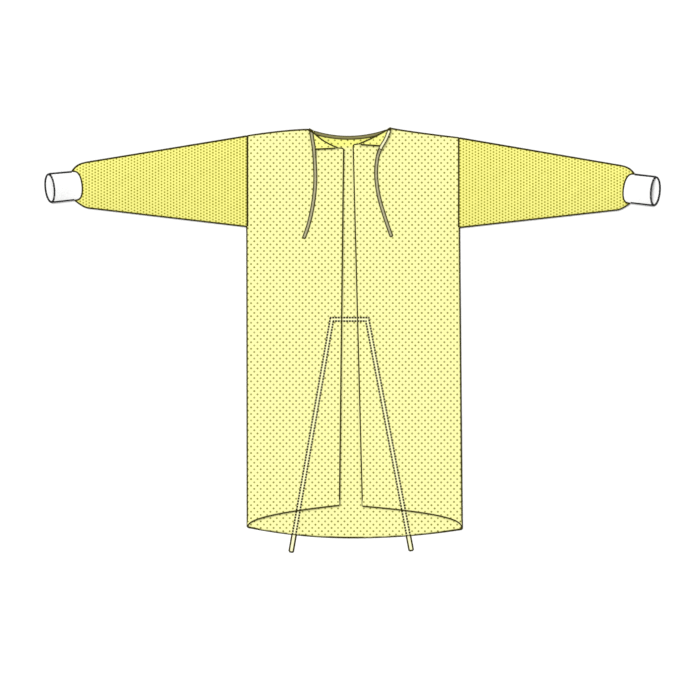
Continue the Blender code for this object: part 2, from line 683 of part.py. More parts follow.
def build_belt():
    """The waist belt, flat on the table under the front, with its tails past the hem."""
    return build_strip("waist_belt", np.array(BELT_PATH), BELT_WIDTH,
                       lambda x, y: np.zeros_like(x), BELT_CREAM)


# ---------------------------------------------------------------- the gown
def main():
    clear_scene()
    collection = bpy.data.collections.new(COLLECTION)
    bpy.context.scene.collection.children.link(collection)
    build_front()
    for side in (LEFT, RIGHT):
        build_back(side)
        build_neck_tie(side)
    for sleeve in SLEEVES:
        build_sleeve(sleeve)
        build_cuff(sleeve)
    build_neck_binding()
    build_belt()


main()
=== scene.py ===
"""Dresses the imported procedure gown: its cloth, rib cuffs, tapes, belt and overcast edges.

Metres, +Z up, in the frame's own axes: +X to the gown's right sleeve, +Y to its neck,
and the table at z = 0. The gown lies front down, so its back is on top.
"""

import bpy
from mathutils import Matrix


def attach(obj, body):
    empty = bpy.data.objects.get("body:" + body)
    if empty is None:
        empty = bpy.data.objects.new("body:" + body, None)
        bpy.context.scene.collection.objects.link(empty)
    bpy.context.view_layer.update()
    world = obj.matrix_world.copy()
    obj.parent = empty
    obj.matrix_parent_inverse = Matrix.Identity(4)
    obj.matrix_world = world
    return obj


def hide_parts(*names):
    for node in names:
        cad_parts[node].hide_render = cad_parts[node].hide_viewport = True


bl_info = {
    "name": "Procedure gown",
    "version": (1, 0, 0),
    "blender": (4, 5, 0),
    "location": "3D View > Sidebar > Gown",
    "description": "Makes the cloth, cuffs, tapes, stitching and stage of a procedure gown laid flat",
    "category": "Object",
}

from collections import namedtuple
from math import pi, radians

import bmesh
import bpy
import numpy as np
from bpy.props import FloatProperty, FloatVectorProperty, PointerProperty

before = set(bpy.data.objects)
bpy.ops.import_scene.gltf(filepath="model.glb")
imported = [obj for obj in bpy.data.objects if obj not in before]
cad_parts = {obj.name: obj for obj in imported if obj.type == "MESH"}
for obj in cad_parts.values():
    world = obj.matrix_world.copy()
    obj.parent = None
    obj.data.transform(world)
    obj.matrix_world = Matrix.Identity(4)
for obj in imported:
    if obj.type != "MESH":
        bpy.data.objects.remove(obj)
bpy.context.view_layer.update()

MM = 0.001

# ---------------------------------------------------------------- the frame's sizes
CLOTH_WALL = 1.2 * MM          # the solids' wall, which the pieces here stay inside
TAPE_WALL = 1.1 * MM
SEAM_GAP = 0.3 * MM
JOINT_GAP = 0.7 * MM
NECK_DIP = 20.0 * MM
FRONT_HEM_LOW = -555.6 * MM
CORNER_RADIUS = 5.0 * MM

# Plan of one half of the body. x is signed: the wearer's left is negative.
Side = namedtuple("Side", [
    "name", "sign",
    "armhole_x", "hem_x",
    "neck_x", "neck_y",
    "shoulder_y", "underarm_y",
    "shoulder_bow",
    "hem_corner_y", "hem_sweep",
    "fold_x", "fold_y", "fold_sag",
    "open_top_x", "open_top_y",
    "open_hem_x", "open_hem_y",
    "lapel_along", "lapel_out",
])
LEFT = Side("left", -1,
            -297.3 * MM, -296.0 * MM,
            -120.5 * MM, 593.5 * MM,
            575.6 * MM, 321.0 * MM,
            1.6,
            -526.0 * MM, 0.46,
            -43.0 * MM, 541.5 * MM, 6.0 * MM,
            -25.6 * MM, 541.0 * MM,
            -37.3 * MM, -464.5 * MM,
            40.2 * MM, 40.3 * MM)
RIGHT = Side("right", 1,
             300.5 * MM, 308.2 * MM,
             107.0 * MM, 597.0 * MM,
             570.0 * MM, 318.5 * MM,
             0.86,
             -531.7 * MM, 0.37,
             18.0 * MM, 552.0 * MM, 2.5 * MM,
             2.0 * MM, 551.5 * MM,
             28.0 * MM, -466.8 * MM,
             43.2 * MM, 37.7 * MM)

SLEEVE_SIDE = 2.8 * MM
SLEEVE_CROWN = 3.3 * MM
WRIST_LEAN = 0.35
WRIST_NECKWARD = 3.6
WRIST_HEMWARD = 1.7
SEAM_BOW = 0.6
CUFF_WALL = 1.8 * MM
CUFF_SIDE = 4.4 * MM
CUFF_CROWN = 7.0 * MM
JOINT_CROWN = 1.7 * MM
JOINT_TOP = 25.4 * MM
JOINT_UNDER = 2.8 * MM
MOUTH_SPLAY = 13.3 * MM
FLAT_SHARE = 0.45

# One sleeve: its taper's end, its seam to the cuff and the cuff's mouth. A tilt is how far
# the neckward side of a ring lies towards the hand, for each metre across.
Sleeve = namedtuple("Sleeve", [
    "side",
    "taper_x", "taper_top_y", "taper_under_y",
    "joint_x", "joint_y", "joint_half", "joint_tilt",
    "mouth_x", "mouth_y", "mouth_half", "mouth_tilt",
])
SLEEVES = [
    Sleeve(LEFT, -741.6 * MM, 502.8 * MM, 373.2 * MM,
           -786.6 * MM, 435.8 * MM, 40.4 * MM, 0.09,
           -852.3 * MM, 429.0 * MM, 39.8 * MM, 0.10),
    Sleeve(RIGHT, 742.8 * MM, 494.4 * MM, 367.6 * MM,
           787.8 * MM, 427.9 * MM, 40.9 * MM, 0.14,
           852.3 * MM, 420.3 * MM, 40.0 * MM, 0.08),
]

FOLD_RADIUS = 2.2 * MM
LAPEL_CLOSE = 4.0 * MM         # length at a fold's lower end over which its bend runs out
TAPE_WIDTH = 10.0 * MM
BELT_WIDTH = 12.0 * MM
BELT_BAR_Y = 59.2 * MM
BELT_PATH = [
    (-173.3 * MM, -596.0 * MM),
    (-58.3 * MM, BELT_BAR_Y),
    (41.4 * MM, BELT_BAR_Y),
    (165.4 * MM, -592.0 * MM),
]
BELT_MIDDLE = -8.0 * MM        # x between its two tails
BELT_LIFT = TAPE_WALL + SEAM_GAP
RIDGE_FLAT = 1.5 * MM
RIDGE_FADE = 14.0 * MM

TIE_ROUTES = {                 # centre line of each tie in plan, in mm, down to its free end
    "left": [
        (-117.0, 591.0), (-113.5, 568.0), (-108.9, 537.0), (-105.8, 489.0), (-105.0, 452.0),
        (-108.0, 410.0), (-114.5, 367.0), (-125.0, 323.0), (-137.2, 288.0),
    ],
    "right": [
        (103.8, 591.5), (92.5, 565.0), (80.0, 543.5), (70.5, 517.0), (66.2, 478.0),
        (68.4, 440.0), (76.0, 397.0), (91.0, 347.0), (109.5, 293.0),
    ],
}

BACK_RISE = 2.0 * MM
SIDE_RISE_WIDTH = 45.0 * MM
SHOULDER_RISE_WIDTH = 60.0 * MM
SEWN_SPREAD = 1.6
ARMHOLE_FADE = 90.0 * MM
BINDING_INSET = 4.0 * MM
TIE_FOOT = 30.0 * MM
TIE_RAMP = 24.0 * MM

# ---------------------------------------------------------------- sizes of the looks
SHELL = 0.9 * MM               # the cloth as shown, inside the solids' wall
LIE_GAP = 0.2 * MM             # between a tape and what it lies on
KNIT_RIB = 2.6 * MM            # one rib and its furrow, round the cuff
KNIT_DEPTH = 0.45 * MM
KNIT_WALE = 1.25 * MM          # one loop along a rib
MOUTH_ROLL = 0.012             # how far the mouth rolls over past its edge, as a share of the cuff
HEM_TURN = 14.0 * MM           # turned-up hem, a second layer of cloth
HEM_STEP = 0.35 * MM
CREASE_FADE = 0.3              # share of a fold's length over which each end fades
WAVE_BEND = 0.25 * MM          # this much height of the waves before it turns a wave by one radian
FRONT_CRUMPLE = 0.5            # share of the waves that the front shows
FRONT_LEVEL = 0.1 * MM         # added to its relief, which is never below the table
BELT_RELIEF = 0.35             # share of the belt's ridge that the back shows too
GATHERS = 22                   # soft gathers round a sleeve's wrist
GATHER_DEPTH = 0.35 * MM
GATHER_IN = (0.9, 0.5)         # along the sleeve: where they begin, and over what length
GATHER_OUT = (0.8, 0.2)        # along its rounded end: where they fade, and over what length
SLEEVE_CALM = (0.06, 0.9)      # shares of its taper and of its end over which folds come and go
TAPE_SQUARED = (0.8, 0.45)     # powers of the cosine and sine that square off a tape's section
TAPE_END = 1.6 * MM            # length of a tape's rounded end
TAPE_END_NARROW = 0.28         # share of its width that it loses there
TIE_STEPS = 16                 # between two points of a tie's centre line
WEFT_PITCH = 0.9 * MM

# Overcast threads. A half width is a share of the edge thread's or the tape thread's own.
THREAD_LIFT = 0.3 * MM         # how far an overcast edge stands over and under its cloth
TAPE_EDGE_LIFT = 0.15 * MM     # the same along a tape
FRONT_HEM_LIFT = 0.05 * MM     # and the front hem's thread off the table
SEAM_HALF_HEIGHT = 1.15 * MM   # half the height of the thread where two layers are sewn
ARMHOLE_HALF_HEIGHT = 0.75 * MM
CUFF_SEAM_HALF_HEIGHT = 0.8 * MM
TACK_HALF_HEIGHT = 1.2 * MM
CREAM_TACK_HALF_HEIGHT = 0.35 * MM
ARMHOLE_INSET = 1.2 * MM       # how far the armhole's thread sits in on the back
SQUARENESS = 0.5               # power that squares off a thread's section
PINCH_SHARE = 0.3              # how much narrower an edge is between two turns of thread
PINCH_DEPTH = 0.22 * MM        # and how much lower
WIDE_EDGE = 1.1                # shoulders, a cuff's neckward fold and its mouth
LOWER_EDGE = 0.82              # hemward folds and the cuff's seam
OPEN_EDGE = 0.76               # a back's edges that lie free on the front
TACK_SHARE = 1.6               # the tacks at the neck points
CREAM_TACK_SHARE = 0.7         # the tack across the right tie
BINDING_EDGE = 0.7
BELT_EDGE = 1.3
TAPE_INSET = 0.6               # how far a tape's thread lies in, as a share of its half width
BELT_INSET = 0.15
CREST_TURN = 0.78              # where a lapel's fold has its thread, as a share of the half turn
NECK_TACKS = {                 # ends of the bar tack at each neck point
    "left": [(-124.0 * MM, 594.0 * MM), (-111.0 * MM, 587.0 * MM)],
    "right": [(100.5 * MM, 592.5 * MM), (108.5 * MM, 597.5 * MM)],
}
CREAM_END = 538.7 * MM         # the right tie is cream above this, up to its neck point

# Patterns on the cloth.
BODY_DOT_START = (13.5 * MM, 3.8 * MM)
SLEEVE_DOT_START = {"left": (5.9 * MM, 2.65 * MM), "right": (14.9 * MM, 4.75 * MM)}
DOT_EDGE = (0.62, 0.36)        # a dot's soft edge, as shares of its size
BOND_PITCH = (2.6 * MM, 3.4 * MM)    # the nonwoven's bond points
BOND_EDGE = (0.55 * MM, 0.3 * MM)
NECK_TONE = (538.0 * MM, 552.0 * MM)    # the front's deeper tone comes in over this height
BELT_BLUR = 0.6 * MM           # soft edge of the belt where it is painted showing through the cloth
PAINTED_BELT_SHADOW_INSET = 1.1 * MM        # its painted shadow lines, dashed, in from its edges

FLOOR_REACH = 30.0             # half the table's width
FLOOR_DROP = 0.05 * MM         # its top, under the gown

# Faces of each piece, across and up, or along and round.
FRONT_COLUMNS = (40, 50, 43)   # side to neck point, between neck points, and to the other side
FRONT_ROWS = 246
BACK_COLUMNS = (42, 11, 13, 5, 6)    # along shoulder, fold to the tip, on, its end, and corner
BACK_ROWS = 236
LAPEL_STEPS = 9                # round the lapel's bend, and over its flat part
SLEEVE_RINGS = (88, 24)        # along the taper and the rounded end
SLEEVE_AROUND = 132
RIB_STEPS = 6                  # round one rib of a cuff
CUFF_RINGS = (34, 8, 12)       # out along it, over its mouth, and back inside

# A soft fold between two points in plan, in mm: a ridge, or a trough if its height is
# negative, that fades at its ends.
Crease = namedtuple("Crease", ["x0", "y0", "x1", "y1", "height", "width"])
BACK_CREASES = [
    Crease(-235, 300, -150, 80, 0.9, 30),
    Crease(-75, 190, -95, -210, -0.7, 34),
    Crease(-215, -120, -235, -400, 0.8, 32),
    Crease(240, 290, 175, 100, 0.8, 28),
    Crease(95, 130, 85, -170, -0.7, 36),
    Crease(225, -60, 250, -380, 0.9, 34),
    # left half
    Crease(-276, 392, -196, 302, 0.8, 11),
    Crease(-262, 470, -170, 420, 0.55, 9),
    Crease(-240, 352, -158, 214, -0.6, 9),
    Crease(-268, 214, -222, 66, 0.7, 12),
    Crease(-150, 66, -76, 24, 0.6, 10),
    Crease(-205, 20, -88, -44, 0.55, 9),
    Crease(-252, -48, -176, -116, -0.55, 10),
    Crease(-128, -92, -146, -268, 0.75, 13),
    Crease(-72, -250, -92, -392, -0.5, 9),
    Crease(-262, -262, -214, -352, 0.6, 10),
    Crease(-186, -330, -204, -470, 0.7, 12),
    Crease(-60, 420, -84, 300, 0.55, 10),
    # right half
    Crease(278, 388, 206, 286, 0.75, 11),
    Crease(258, 462, 182, 402, 0.6, 10),
    Crease(232, 330, 168, 226, -0.55, 9),
    Crease(270, 190, 236, 30, 0.65, 12),
    Crease(62, 76, 130, 40, 0.6, 10),
    Crease(84, -12, 190, -60, 0.5, 9),
    Crease(262, -96, 190, -150, -0.5, 10),
    Crease(120, -120, 148, -300, 0.7, 13),
    Crease(58, -220, 78, -372, -0.5, 9),
    Crease(268, -300, 224, -392, 0.6, 11),
    Crease(176, -352, 196, -478, 0.65, 12),
    Crease(34, 400, 62, 262, 0.5, 10),
]
FRONT_CREASES = [
    Crease(-22, 470, -6, 330, 0.6, 12),
    Crease(4, 250, -14, 120, 0.5, 11),
    Crease(-20, -60, 6, -220, 0.6, 13),
    Crease(10, -280, -8, -430, 0.5, 11),
    Crease(-212, -500, -168, -420, 0.6, 13),
    Crease(-84, -540, -70, -440, 0.7, 14),
    Crease(74, -538, 60, -430, 0.6, 13),
    Crease(238, -508, 214, -420, 0.6, 12),
    Crease(-60, 562, 10, 548, 0.4, 10),
]
SLEEVE_CREASES = [
    Crease(-340, 400, -430, 470, -0.8, 22),
    Crease(-520, 490, -590, 400, -0.9, 24),
    Crease(-665, 400, -735, 455, -0.7, 20),
    Crease(345, 385, 425, 465, -0.8, 24),
    Crease(545, 480, 600, 395, -0.8, 22),
    Crease(670, 395, 730, 450, -0.7, 20),
    # left arm
    Crease(-318, 352, -382, 420, 0.9, 12),
    Crease(-330, 540, -404, 500, 0.8, 11),
    Crease(-440, 372, -500, 452, 0.8, 12),
    Crease(-470, 520, -560, 486, 0.6, 10),
    Crease(-556, 380, -640, 424, 0.8, 12),
    Crease(-610, 496, -668, 440, 0.7, 10),
    Crease(-700, 404, -752, 432, 0.6, 9),
    # right arm
    Crease(322, 348, 380, 424, 0.9, 12),
    Crease(336, 532, 416, 486, 0.75, 11),
    Crease(452, 366, 512, 440, 0.8, 12),
    Crease(480, 512, 556, 470, 0.6, 10),
    Crease(566, 378, 648, 428, 0.8, 12),
    Crease(622, 484, 676, 430, 0.7, 10),
    Crease(704, 396, 754, 420, 0.6, 9),
]

# Low unevenness of the laid cloth: waves of a heading in degrees, and a length, height and
# start in mm.
Wave = namedtuple("Wave", ["heading", "length", "height", "start"])
WAVES = [
    Wave(17, 143, 0.16, 0),
    Wave(74, 97, 0.13, 31),
    Wave(131, 71, 0.11, 12),
    Wave(158, 47, 0.07, 20),
    Wave(41, 33, 0.05, 5),
]


# ---------------------------------------------------------------- curves in plan
def smooth(t):
    """0 below t = 0, 1 above t = 1, and 3 t^2 - 2 t^3 between."""
    t = np.clip(t, 0.0, 1.0)
    return t * t * (3.0 - 2.0 * t)


def side_x(side, y):
    """x of the body's side edge: a straight line from hem to underarm, level above."""
    return np.interp(y, [side.hem_corner_y, side.underarm_y], [side.hem_x, side.armhole_x])


def shoulder_line(side, x):
    """y of the shoulder seam: the neck point less a power of the share out to the arm."""
    share = np.clip((x - side.neck_x) / (side.armhole_x - side.neck_x), 0.0, 1.0)
    return side.neck_y - (side.neck_y - side.shoulder_y) * share ** side.shoulder_bow


def front_top(x):
    """y of the front's top edge: both shoulders, and a parabola for the neckline."""
    share = np.clip((x - LEFT.neck_x) / (RIGHT.neck_x - LEFT.neck_x), 0.0, 1.0)
    chord = LEFT.neck_y + (RIGHT.neck_y - LEFT.neck_y) * share
    neckline = chord - NECK_DIP * 4.0 * share * (1.0 - share)
    shoulders = np.where(x < 0.0, shoulder_line(LEFT, x), shoulder_line(RIGHT, x))
    return np.where((x > LEFT.neck_x) & (x < RIGHT.neck_x), neckline, shoulders)


def front_hem(x):
    """y of the front hem: a parabola from each side corner to the low middle."""
    half_width = np.where(x < 0.0, -LEFT.hem_x, RIGHT.hem_x)
    corner_y = np.where(x < 0.0, LEFT.hem_corner_y, RIGHT.hem_corner_y)
    return FRONT_HEM_LOW + (corner_y - FRONT_HEM_LOW) * np.clip(np.abs(x) / half_width, 0, 1) ** 2


def back_hem(side, x):
    """y of the back hem: a power of the share from side seam to opening."""
    share = np.clip((x - side.hem_x) / (side.open_hem_x - side.hem_x), 0.0, 1.0)
    return side.hem_corner_y + (side.open_hem_y - side.hem_corner_y) * share ** side.hem_sweep


def segment_distance(x, y, ax, ay, bx, by):
    """Distance from (x, y) to the segment from a to b, and the share along it."""
    length2 = (bx - ax) ** 2 + (by - ay) ** 2
    along = ((x - ax) * (bx - ax) + (y - ay) * (by - ay)) / length2
    near = np.clip(along, 0.0, 1.0)
    return np.hypot(x - ax - near * (bx - ax), y - ay - near * (by - ay)), along


def crease_height(creases, x, y):
    """Sum of the soft folds: exp(-(off / width)^2) across each, an S-step in from its ends."""
    total = np.zeros(np.broadcast(x, y).shape)
    for fold in creases:
        x0, y0, x1, y1, height, width = np.array(fold) * MM
        off, along = segment_distance(x, y, x0, y0, x1, y1)
        ends = smooth(along / CREASE_FADE + 0.5) * smooth((1.0 - along) / CREASE_FADE + 0.5)
        total = total + height * np.exp(-(off / width) ** 2) * ends
    return total


def crumple(x, y):
    """Low waves summed, each one's phase bent by the waves before it."""
    total = np.zeros(np.broadcast(x, y).shape)
    for wave in WAVES:
        heading = radians(wave.heading)
        travel = (x * np.cos(heading) + y * np.sin(heading)) / MM + wave.start
        bend = total / WAVE_BEND
        total = total + wave.height * MM * np.sin(2.0 * pi * travel / wave.length + bend)
    return total


# ---------------------------------------------------------------- heights
def belt_lift(x, y):
    """Height of the front over the table: it rides over the belt, and lies flat elsewhere."""
    off = np.full_like(x, 1.0)
    for (ax, ay), (bx, by) in zip(BELT_PATH[:-1], BELT_PATH[1:]):
        off = np.minimum(off, segment_distance(x, y, ax, ay, bx, by)[0])
    return BELT_LIFT * smooth(1.0 - (off - BELT_WIDTH / 2 - RIDGE_FLAT) / RIDGE_FADE)


def body_away(x, y):
    """0 at the side and shoulder seams, 1 well inside the body."""
    side_off = np.minimum(x - side_x(LEFT, y), side_x(RIGHT, y) - x)
    top_off = front_top(x) - y
    return smooth(side_off / SIDE_RISE_WIDTH) * smooth(top_off / SHOULDER_RISE_WIDTH)


def front_under(x, y):
    """Height of the front's underside: the belt's ridge, low creases, and the table."""
    relief = crease_height(FRONT_CREASES, x, y) + FRONT_CRUMPLE * crumple(x, y) + FRONT_LEVEL
    return belt_lift(x, y) + np.maximum(relief, 0.0) * body_away(x, y)


def back_under(side, x, y):
    """Height of a back panel's underside: the solid's form with finer folds on it."""
    off_side = np.abs(x - side_x(side, y))
    off_shoulder = shoulder_line(side, x) - y
    sewn = smooth((x - side.neck_x) / (side.armhole_x - side.neck_x) * SEWN_SPREAD)
    rise = BACK_RISE * smooth(off_side / SIDE_RISE_WIDTH)
    rise = rise * (1.0 - sewn * (1.0 - smooth(off_shoulder / SHOULDER_RISE_WIDTH)))
    middle = (side.shoulder_y + side.underarm_y) / 2
    half = (side.shoulder_y - side.underarm_y) / 2
    section = SLEEVE_CROWN * np.clip(1.0 - ((y - middle) / half) ** 2, 0.0, 1.0)
    rise = rise + section * (1.0 - smooth(off_side / ARMHOLE_FADE))
    away = smooth(off_side / SIDE_RISE_WIDTH) * smooth(off_shoulder / SHOULDER_RISE_WIDTH)
    rise = rise + (crease_height(BACK_CREASES, x, y) + crumple(x, y)) * away
    rise = rise + BELT_RELIEF * belt_lift(x, y) * away
    return CLOTH_WALL + SEAM_GAP + rise


def hem_step(off_hem):
    """How much a turned-up hem adds to its cloth: an S-step about its fold."""
    return HEM_STEP * smooth(1.5 - off_hem / HEM_TURN)


# ---------------------------------------------------------------- meshes from grids
# points[i, j] and, where the pattern follows the surface, uv[i, j] of a surface. A ring
# closes along i and a tube along j; uv has one more row or column there.
Grid = namedtuple("Grid", ["points", "ring", "tube", "uv", "finish"], defaults=(False, False, None, 0))


def grid_faces(rows, columns, ring, tube):
    """Corner numbers of every quad, and the row and column of each corner."""
    i = np.arange(rows if ring else rows - 1)[:, None, None]
    j = np.arange(columns if tube else columns - 1)[None, :, None]
    corner_i = i + np.array([0, 1, 1, 0])
    corner_j = j + np.array([0, 0, 1, 1])
    corner_i, corner_j = np.broadcast_arrays(corner_i, corner_j)
    return (corner_i % rows) * columns + corner_j % columns, corner_i, corner_j


def make_piece(name, grids, materials, flip=False):
    """One welded mesh object from its grids, each a surface of quads."""
    verts, faces, uvs, finishes, first = [], [], [], [], 0
    for grid in grids:
        rows, columns = grid.points.shape[:2]
        quads, corner_i, corner_j = grid_faces(rows, columns, grid.ring, grid.tube)
        verts.append(grid.points.reshape(-1, 3))
        faces.append(quads.reshape(-1, 4) + first)
        uv = grid.points[..., :2] if grid.uv is None else grid.uv
        if grid.uv is None:
            corner_i, corner_j = corner_i % rows, corner_j % columns
        uvs.append(uv[corner_i, corner_j].reshape(-1, 2))
        finishes.append(np.full(quads.shape[0] * quads.shape[1], grid.finish))
        first += rows * columns
    mesh = bpy.data.meshes.new(name)
    mesh.from_pydata(np.concatenate(verts), [], np.concatenate(faces))
    mesh.uv_layers.new(name="cloth").data.foreach_set("uv", np.concatenate(uvs).ravel())
    mesh.polygons.foreach_set("material_index", np.concatenate(finishes).astype(np.int32))
    mesh.polygons.foreach_set("use_smooth", np.ones(len(mesh.polygons), dtype=bool))
    for material in materials:
        mesh.materials.append(material)
    bm = bmesh.new()
    bm.from_mesh(mesh)
    bmesh.ops.remove_doubles(bm, verts=bm.verts, dist=0.005 * MM)
    if flip:
        bmesh.ops.reverse_faces(bm, faces=bm.faces)
    bm.to_mesh(mesh)
    bm.free()
    piece = bpy.data.objects.new(name, mesh)
    bpy.context.scene.collection.objects.link(piece)
    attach(piece, "root")
    return piece


def give_wall(piece, wall):
    """Thicken an open sheet on the side that its faces point to."""
    solid = piece.modifiers.new("wall", "SOLIDIFY")
    solid.thickness = wall
    solid.offset = 1.0
    solid.use_even_offset = True


def curve_through(points, steps):
    """A smooth curve through the points (Catmull-Rom), with so many steps between two."""
    points = np.array(points)
    padded = np.vstack([2 * points[0] - points[1], points, 2 * points[-1] - points[-2]])
    a, b, c, d = (part[:, None, :] for part in (padded[:-3], padded[1:-2], padded[2:-1], padded[3:]))
    t = np.linspace(0.0, 1.0, steps, endpoint=False)[None, :, None]
    made = 0.5 * (2 * b + (c - a) * t + (2 * a - 5 * b + 4 * c - d) * t ** 2
                  + (3 * b - a - 3 * c + d) * t ** 3)
    return np.concatenate([made.reshape(-1, points.shape[1]), points[-1:]])


def walk(path, step):
    """The path's points at equal steps along it, and how far along each one is."""
    pace = np.concatenate([[0.0], np.cumsum(np.linalg.norm(np.diff(path, axis=0), axis=1))])
    count = max(2, int(round(pace[-1] / step)) + 1)
    far = np.linspace(0.0, pace[-1], count)
    return np.stack([np.interp(far, pace, path[:, k]) for k in range(path.shape[1])], axis=-1), far


def plan_normal(path):
    """Unit vectors in plan, square to the path and to its left."""
    run = np.gradient(path[:, :2], axis=0)
    run = run / np.hypot(run[:, 0], run[:, 1])[:, None]
    return np.stack([-run[:, 1], run[:, 0]], axis=-1)


# ---------------------------------------------------------------- the cloth panels
def front_grid():
    """The front as a function of the share across and the share up from hem to top edge."""
    stops = np.array([LEFT.neck_x, RIGHT.neck_x]) - LEFT.armhole_x
    stops = stops / (RIGHT.armhole_x - LEFT.armhole_x)
    across = np.concatenate([
        np.linspace(0.0, stops[0], FRONT_COLUMNS[0], endpoint=False),
        np.linspace(stops[0], stops[1], FRONT_COLUMNS[1], endpoint=False),
        np.linspace(stops[1], 1.0, FRONT_COLUMNS[2]),
    ])[:, None]
    up = np.linspace(0.0, 1.0, FRONT_ROWS)[None, :]
    low = front_hem(LEFT.hem_x + (RIGHT.hem_x - LEFT.hem_x) * across)
    high = front_top(LEFT.armhole_x + (RIGHT.armhole_x - LEFT.armhole_x) * across)
    y = low + (high - low) * up
    x = side_x(LEFT, y) + (side_x(RIGHT, y) - side_x(LEFT, y)) * across
    z = front_under(x, y) + hem_step(y - low) * body_away(x, y)
    return Grid(np.stack([x, y, z], axis=-1))


def fold_frame(side):
    """The lapel fold's chord: start, direction, length and outward normal in plan."""
    start = np.array([side.neck_x, side.neck_y])
    run = np.array([side.fold_x, side.fold_y]) - start
    length = float(np.hypot(*run))
    run = run / length
    return start, run, length, np.array([run[1], -run[0]]) * side.sign


def fold_sag(side, along):
    """How far the fold line sags from its chord: 4 sag s (1 - s)."""
    share = along / fold_frame(side)[2]
    return 4.0 * side.fold_sag * share * (1.0 - share)


def fold_line(side, along):
    """Points of the fold line: its chord, sagging towards the panel."""
    start, run, _, out = fold_frame(side)
    return start + along[..., None] * run - fold_sag(side, along)[..., None] * out


def lapel_width(side, along):
    """Width of the turned-out corner in the flat cloth.

    It grows evenly up to the tip. Past it the lower edge is straight in plan: the width is
    the bend, pi R, and what is left of the tip's depth less the fold's sag.
    """
    length = fold_frame(side)[2]
    tip_off = side.lapel_out - pi * FOLD_RADIUS + fold_sag(side, side.lapel_along)
    past = tip_off * (length - along) / (length - side.lapel_along) - fold_sag(side, along)
    bend = pi * FOLD_RADIUS * np.clip((length - along) / LAPEL_CLOSE, 0.0, 1.0)
    neckward = side.lapel_out * along / side.lapel_along
    return np.where(along < side.lapel_along, neckward, bend + past)


def folded(side, along, out_by):
    """A point of the lapel: round a half circle at the fold, then back over the panel."""
    turn = np.minimum(out_by / FOLD_RADIUS, pi)
    beyond = FOLD_RADIUS * np.sin(turn) - np.maximum(out_by - pi * FOLD_RADIUS, 0.0)
    plan = fold_line(side, along) + beyond[..., None] * fold_frame(side)[3]
    height = back_under(side, plan[..., 0], plan[..., 1]) + FOLD_RADIUS * (1.0 - np.cos(turn))
    return np.concatenate([plan, height[..., None]], axis=-1)


def back_point(side, share, up, top_y):
    """A point of a back panel by its share across, its share up and its column's top."""
    x_hem = side.hem_x + (side.open_hem_x - side.hem_x) * share
    low = back_hem(side, x_hem)
    edge = side_x(side, side.hem_corner_y + (side.shoulder_y - side.hem_corner_y) * up)
    opening = side.open_hem_x + (side.open_top_x - side.open_hem_x) * up
    x = edge + (opening - edge) * share
    y = low + (top_y - low) * up
    return x, y, low


def corner_edge(side, count):
    """The opening's rounded top corner in plan: a quarter circle down to its straight edge."""
    turn = np.linspace(0.0, pi / 2, count)
    x = side.open_top_x + side.sign * CORNER_RADIUS * (1.0 - np.sin(turn))
    return np.column_stack([x, side.open_top_y - CORNER_RADIUS * (1.0 - np.cos(turn))])


def back_grids(side):
    """A back panel up to its shoulder, fold line and corner, and the lapel past the fold."""
    length = fold_frame(side)[2]
    on_shoulder, to_tip, past_tip, at_end, at_corner = BACK_COLUMNS
    out = np.linspace(0.0, 1.0, on_shoulder, endpoint=False)
    shoulder = side.armhole_x + (side.neck_x - side.armhole_x) * out
    stops = np.concatenate([
        np.linspace(0.0, side.lapel_along, to_tip, endpoint=False),
        np.linspace(side.lapel_along, length - LAPEL_CLOSE, past_tip, endpoint=False),
        np.linspace(length - LAPEL_CLOSE, length, at_end),
    ])
    shoulder = np.column_stack([shoulder, shoulder_line(side, shoulder)])
    top = np.concatenate([shoulder, fold_line(side, stops), corner_edge(side, at_corner)])
    top_x, top_y = top[:, :1], top[:, 1:]
    share = (top_x - side.armhole_x) / (side.open_top_x - side.armhole_x)
    up = np.linspace(0.0, 1.0, BACK_ROWS)[None, :]
    x, y, low = back_point(side, share, up, top_y)
    panel = Grid(np.stack([x, y, back_under(side, x, y) + hem_step(y - low)], axis=-1))
    width = lapel_width(side, stops)[:, None]
    steps = np.linspace(0.0, 1.0, LAPEL_STEPS)[None, :]
    turn = pi * FOLD_RADIUS
    bend = np.broadcast_to(turn * steps, (len(stops), LAPEL_STEPS))
    flat = turn + np.maximum(width - turn, 0.0) * steps[:, 1:]
    out_by = np.minimum(np.concatenate([bend, flat], axis=1), width)
    lapel = Grid(folded(side, np.broadcast_to(stops[:, None], out_by.shape), out_by), finish=1)
    return [panel, lapel]


# ---------------------------------------------------------------- sleeves and cuffs
def tube_point(x, y, half, side_height, crown, shift_top, shift_under, bow, tilt, inset, angle):
    """A point of a flattened tube's ring.

    The angle runs from the neckward fold over the top. Its cosine is the place across, and
    its sine the height, the crown and, to the power of the bow, the shift along the arm.
    """
    sine = np.sin(angle)
    across = (half - inset) * np.cos(angle)
    fullness = np.sqrt(np.clip(np.abs(sine) / FLAT_SHARE, 0.0, 1.0))
    upper, under = np.clip(sine, 0.0, 1.0), np.clip(-sine, 0.0, 1.0)
    along = x + shift_top * upper ** bow + shift_under * under ** bow + tilt * across
    height = side_height / 2 + (side_height / 2 - inset) * fullness * np.sign(sine)
    height = height + crown * upper ** 2
    return np.stack(np.broadcast_arrays(along, y + across, height), axis=-1)


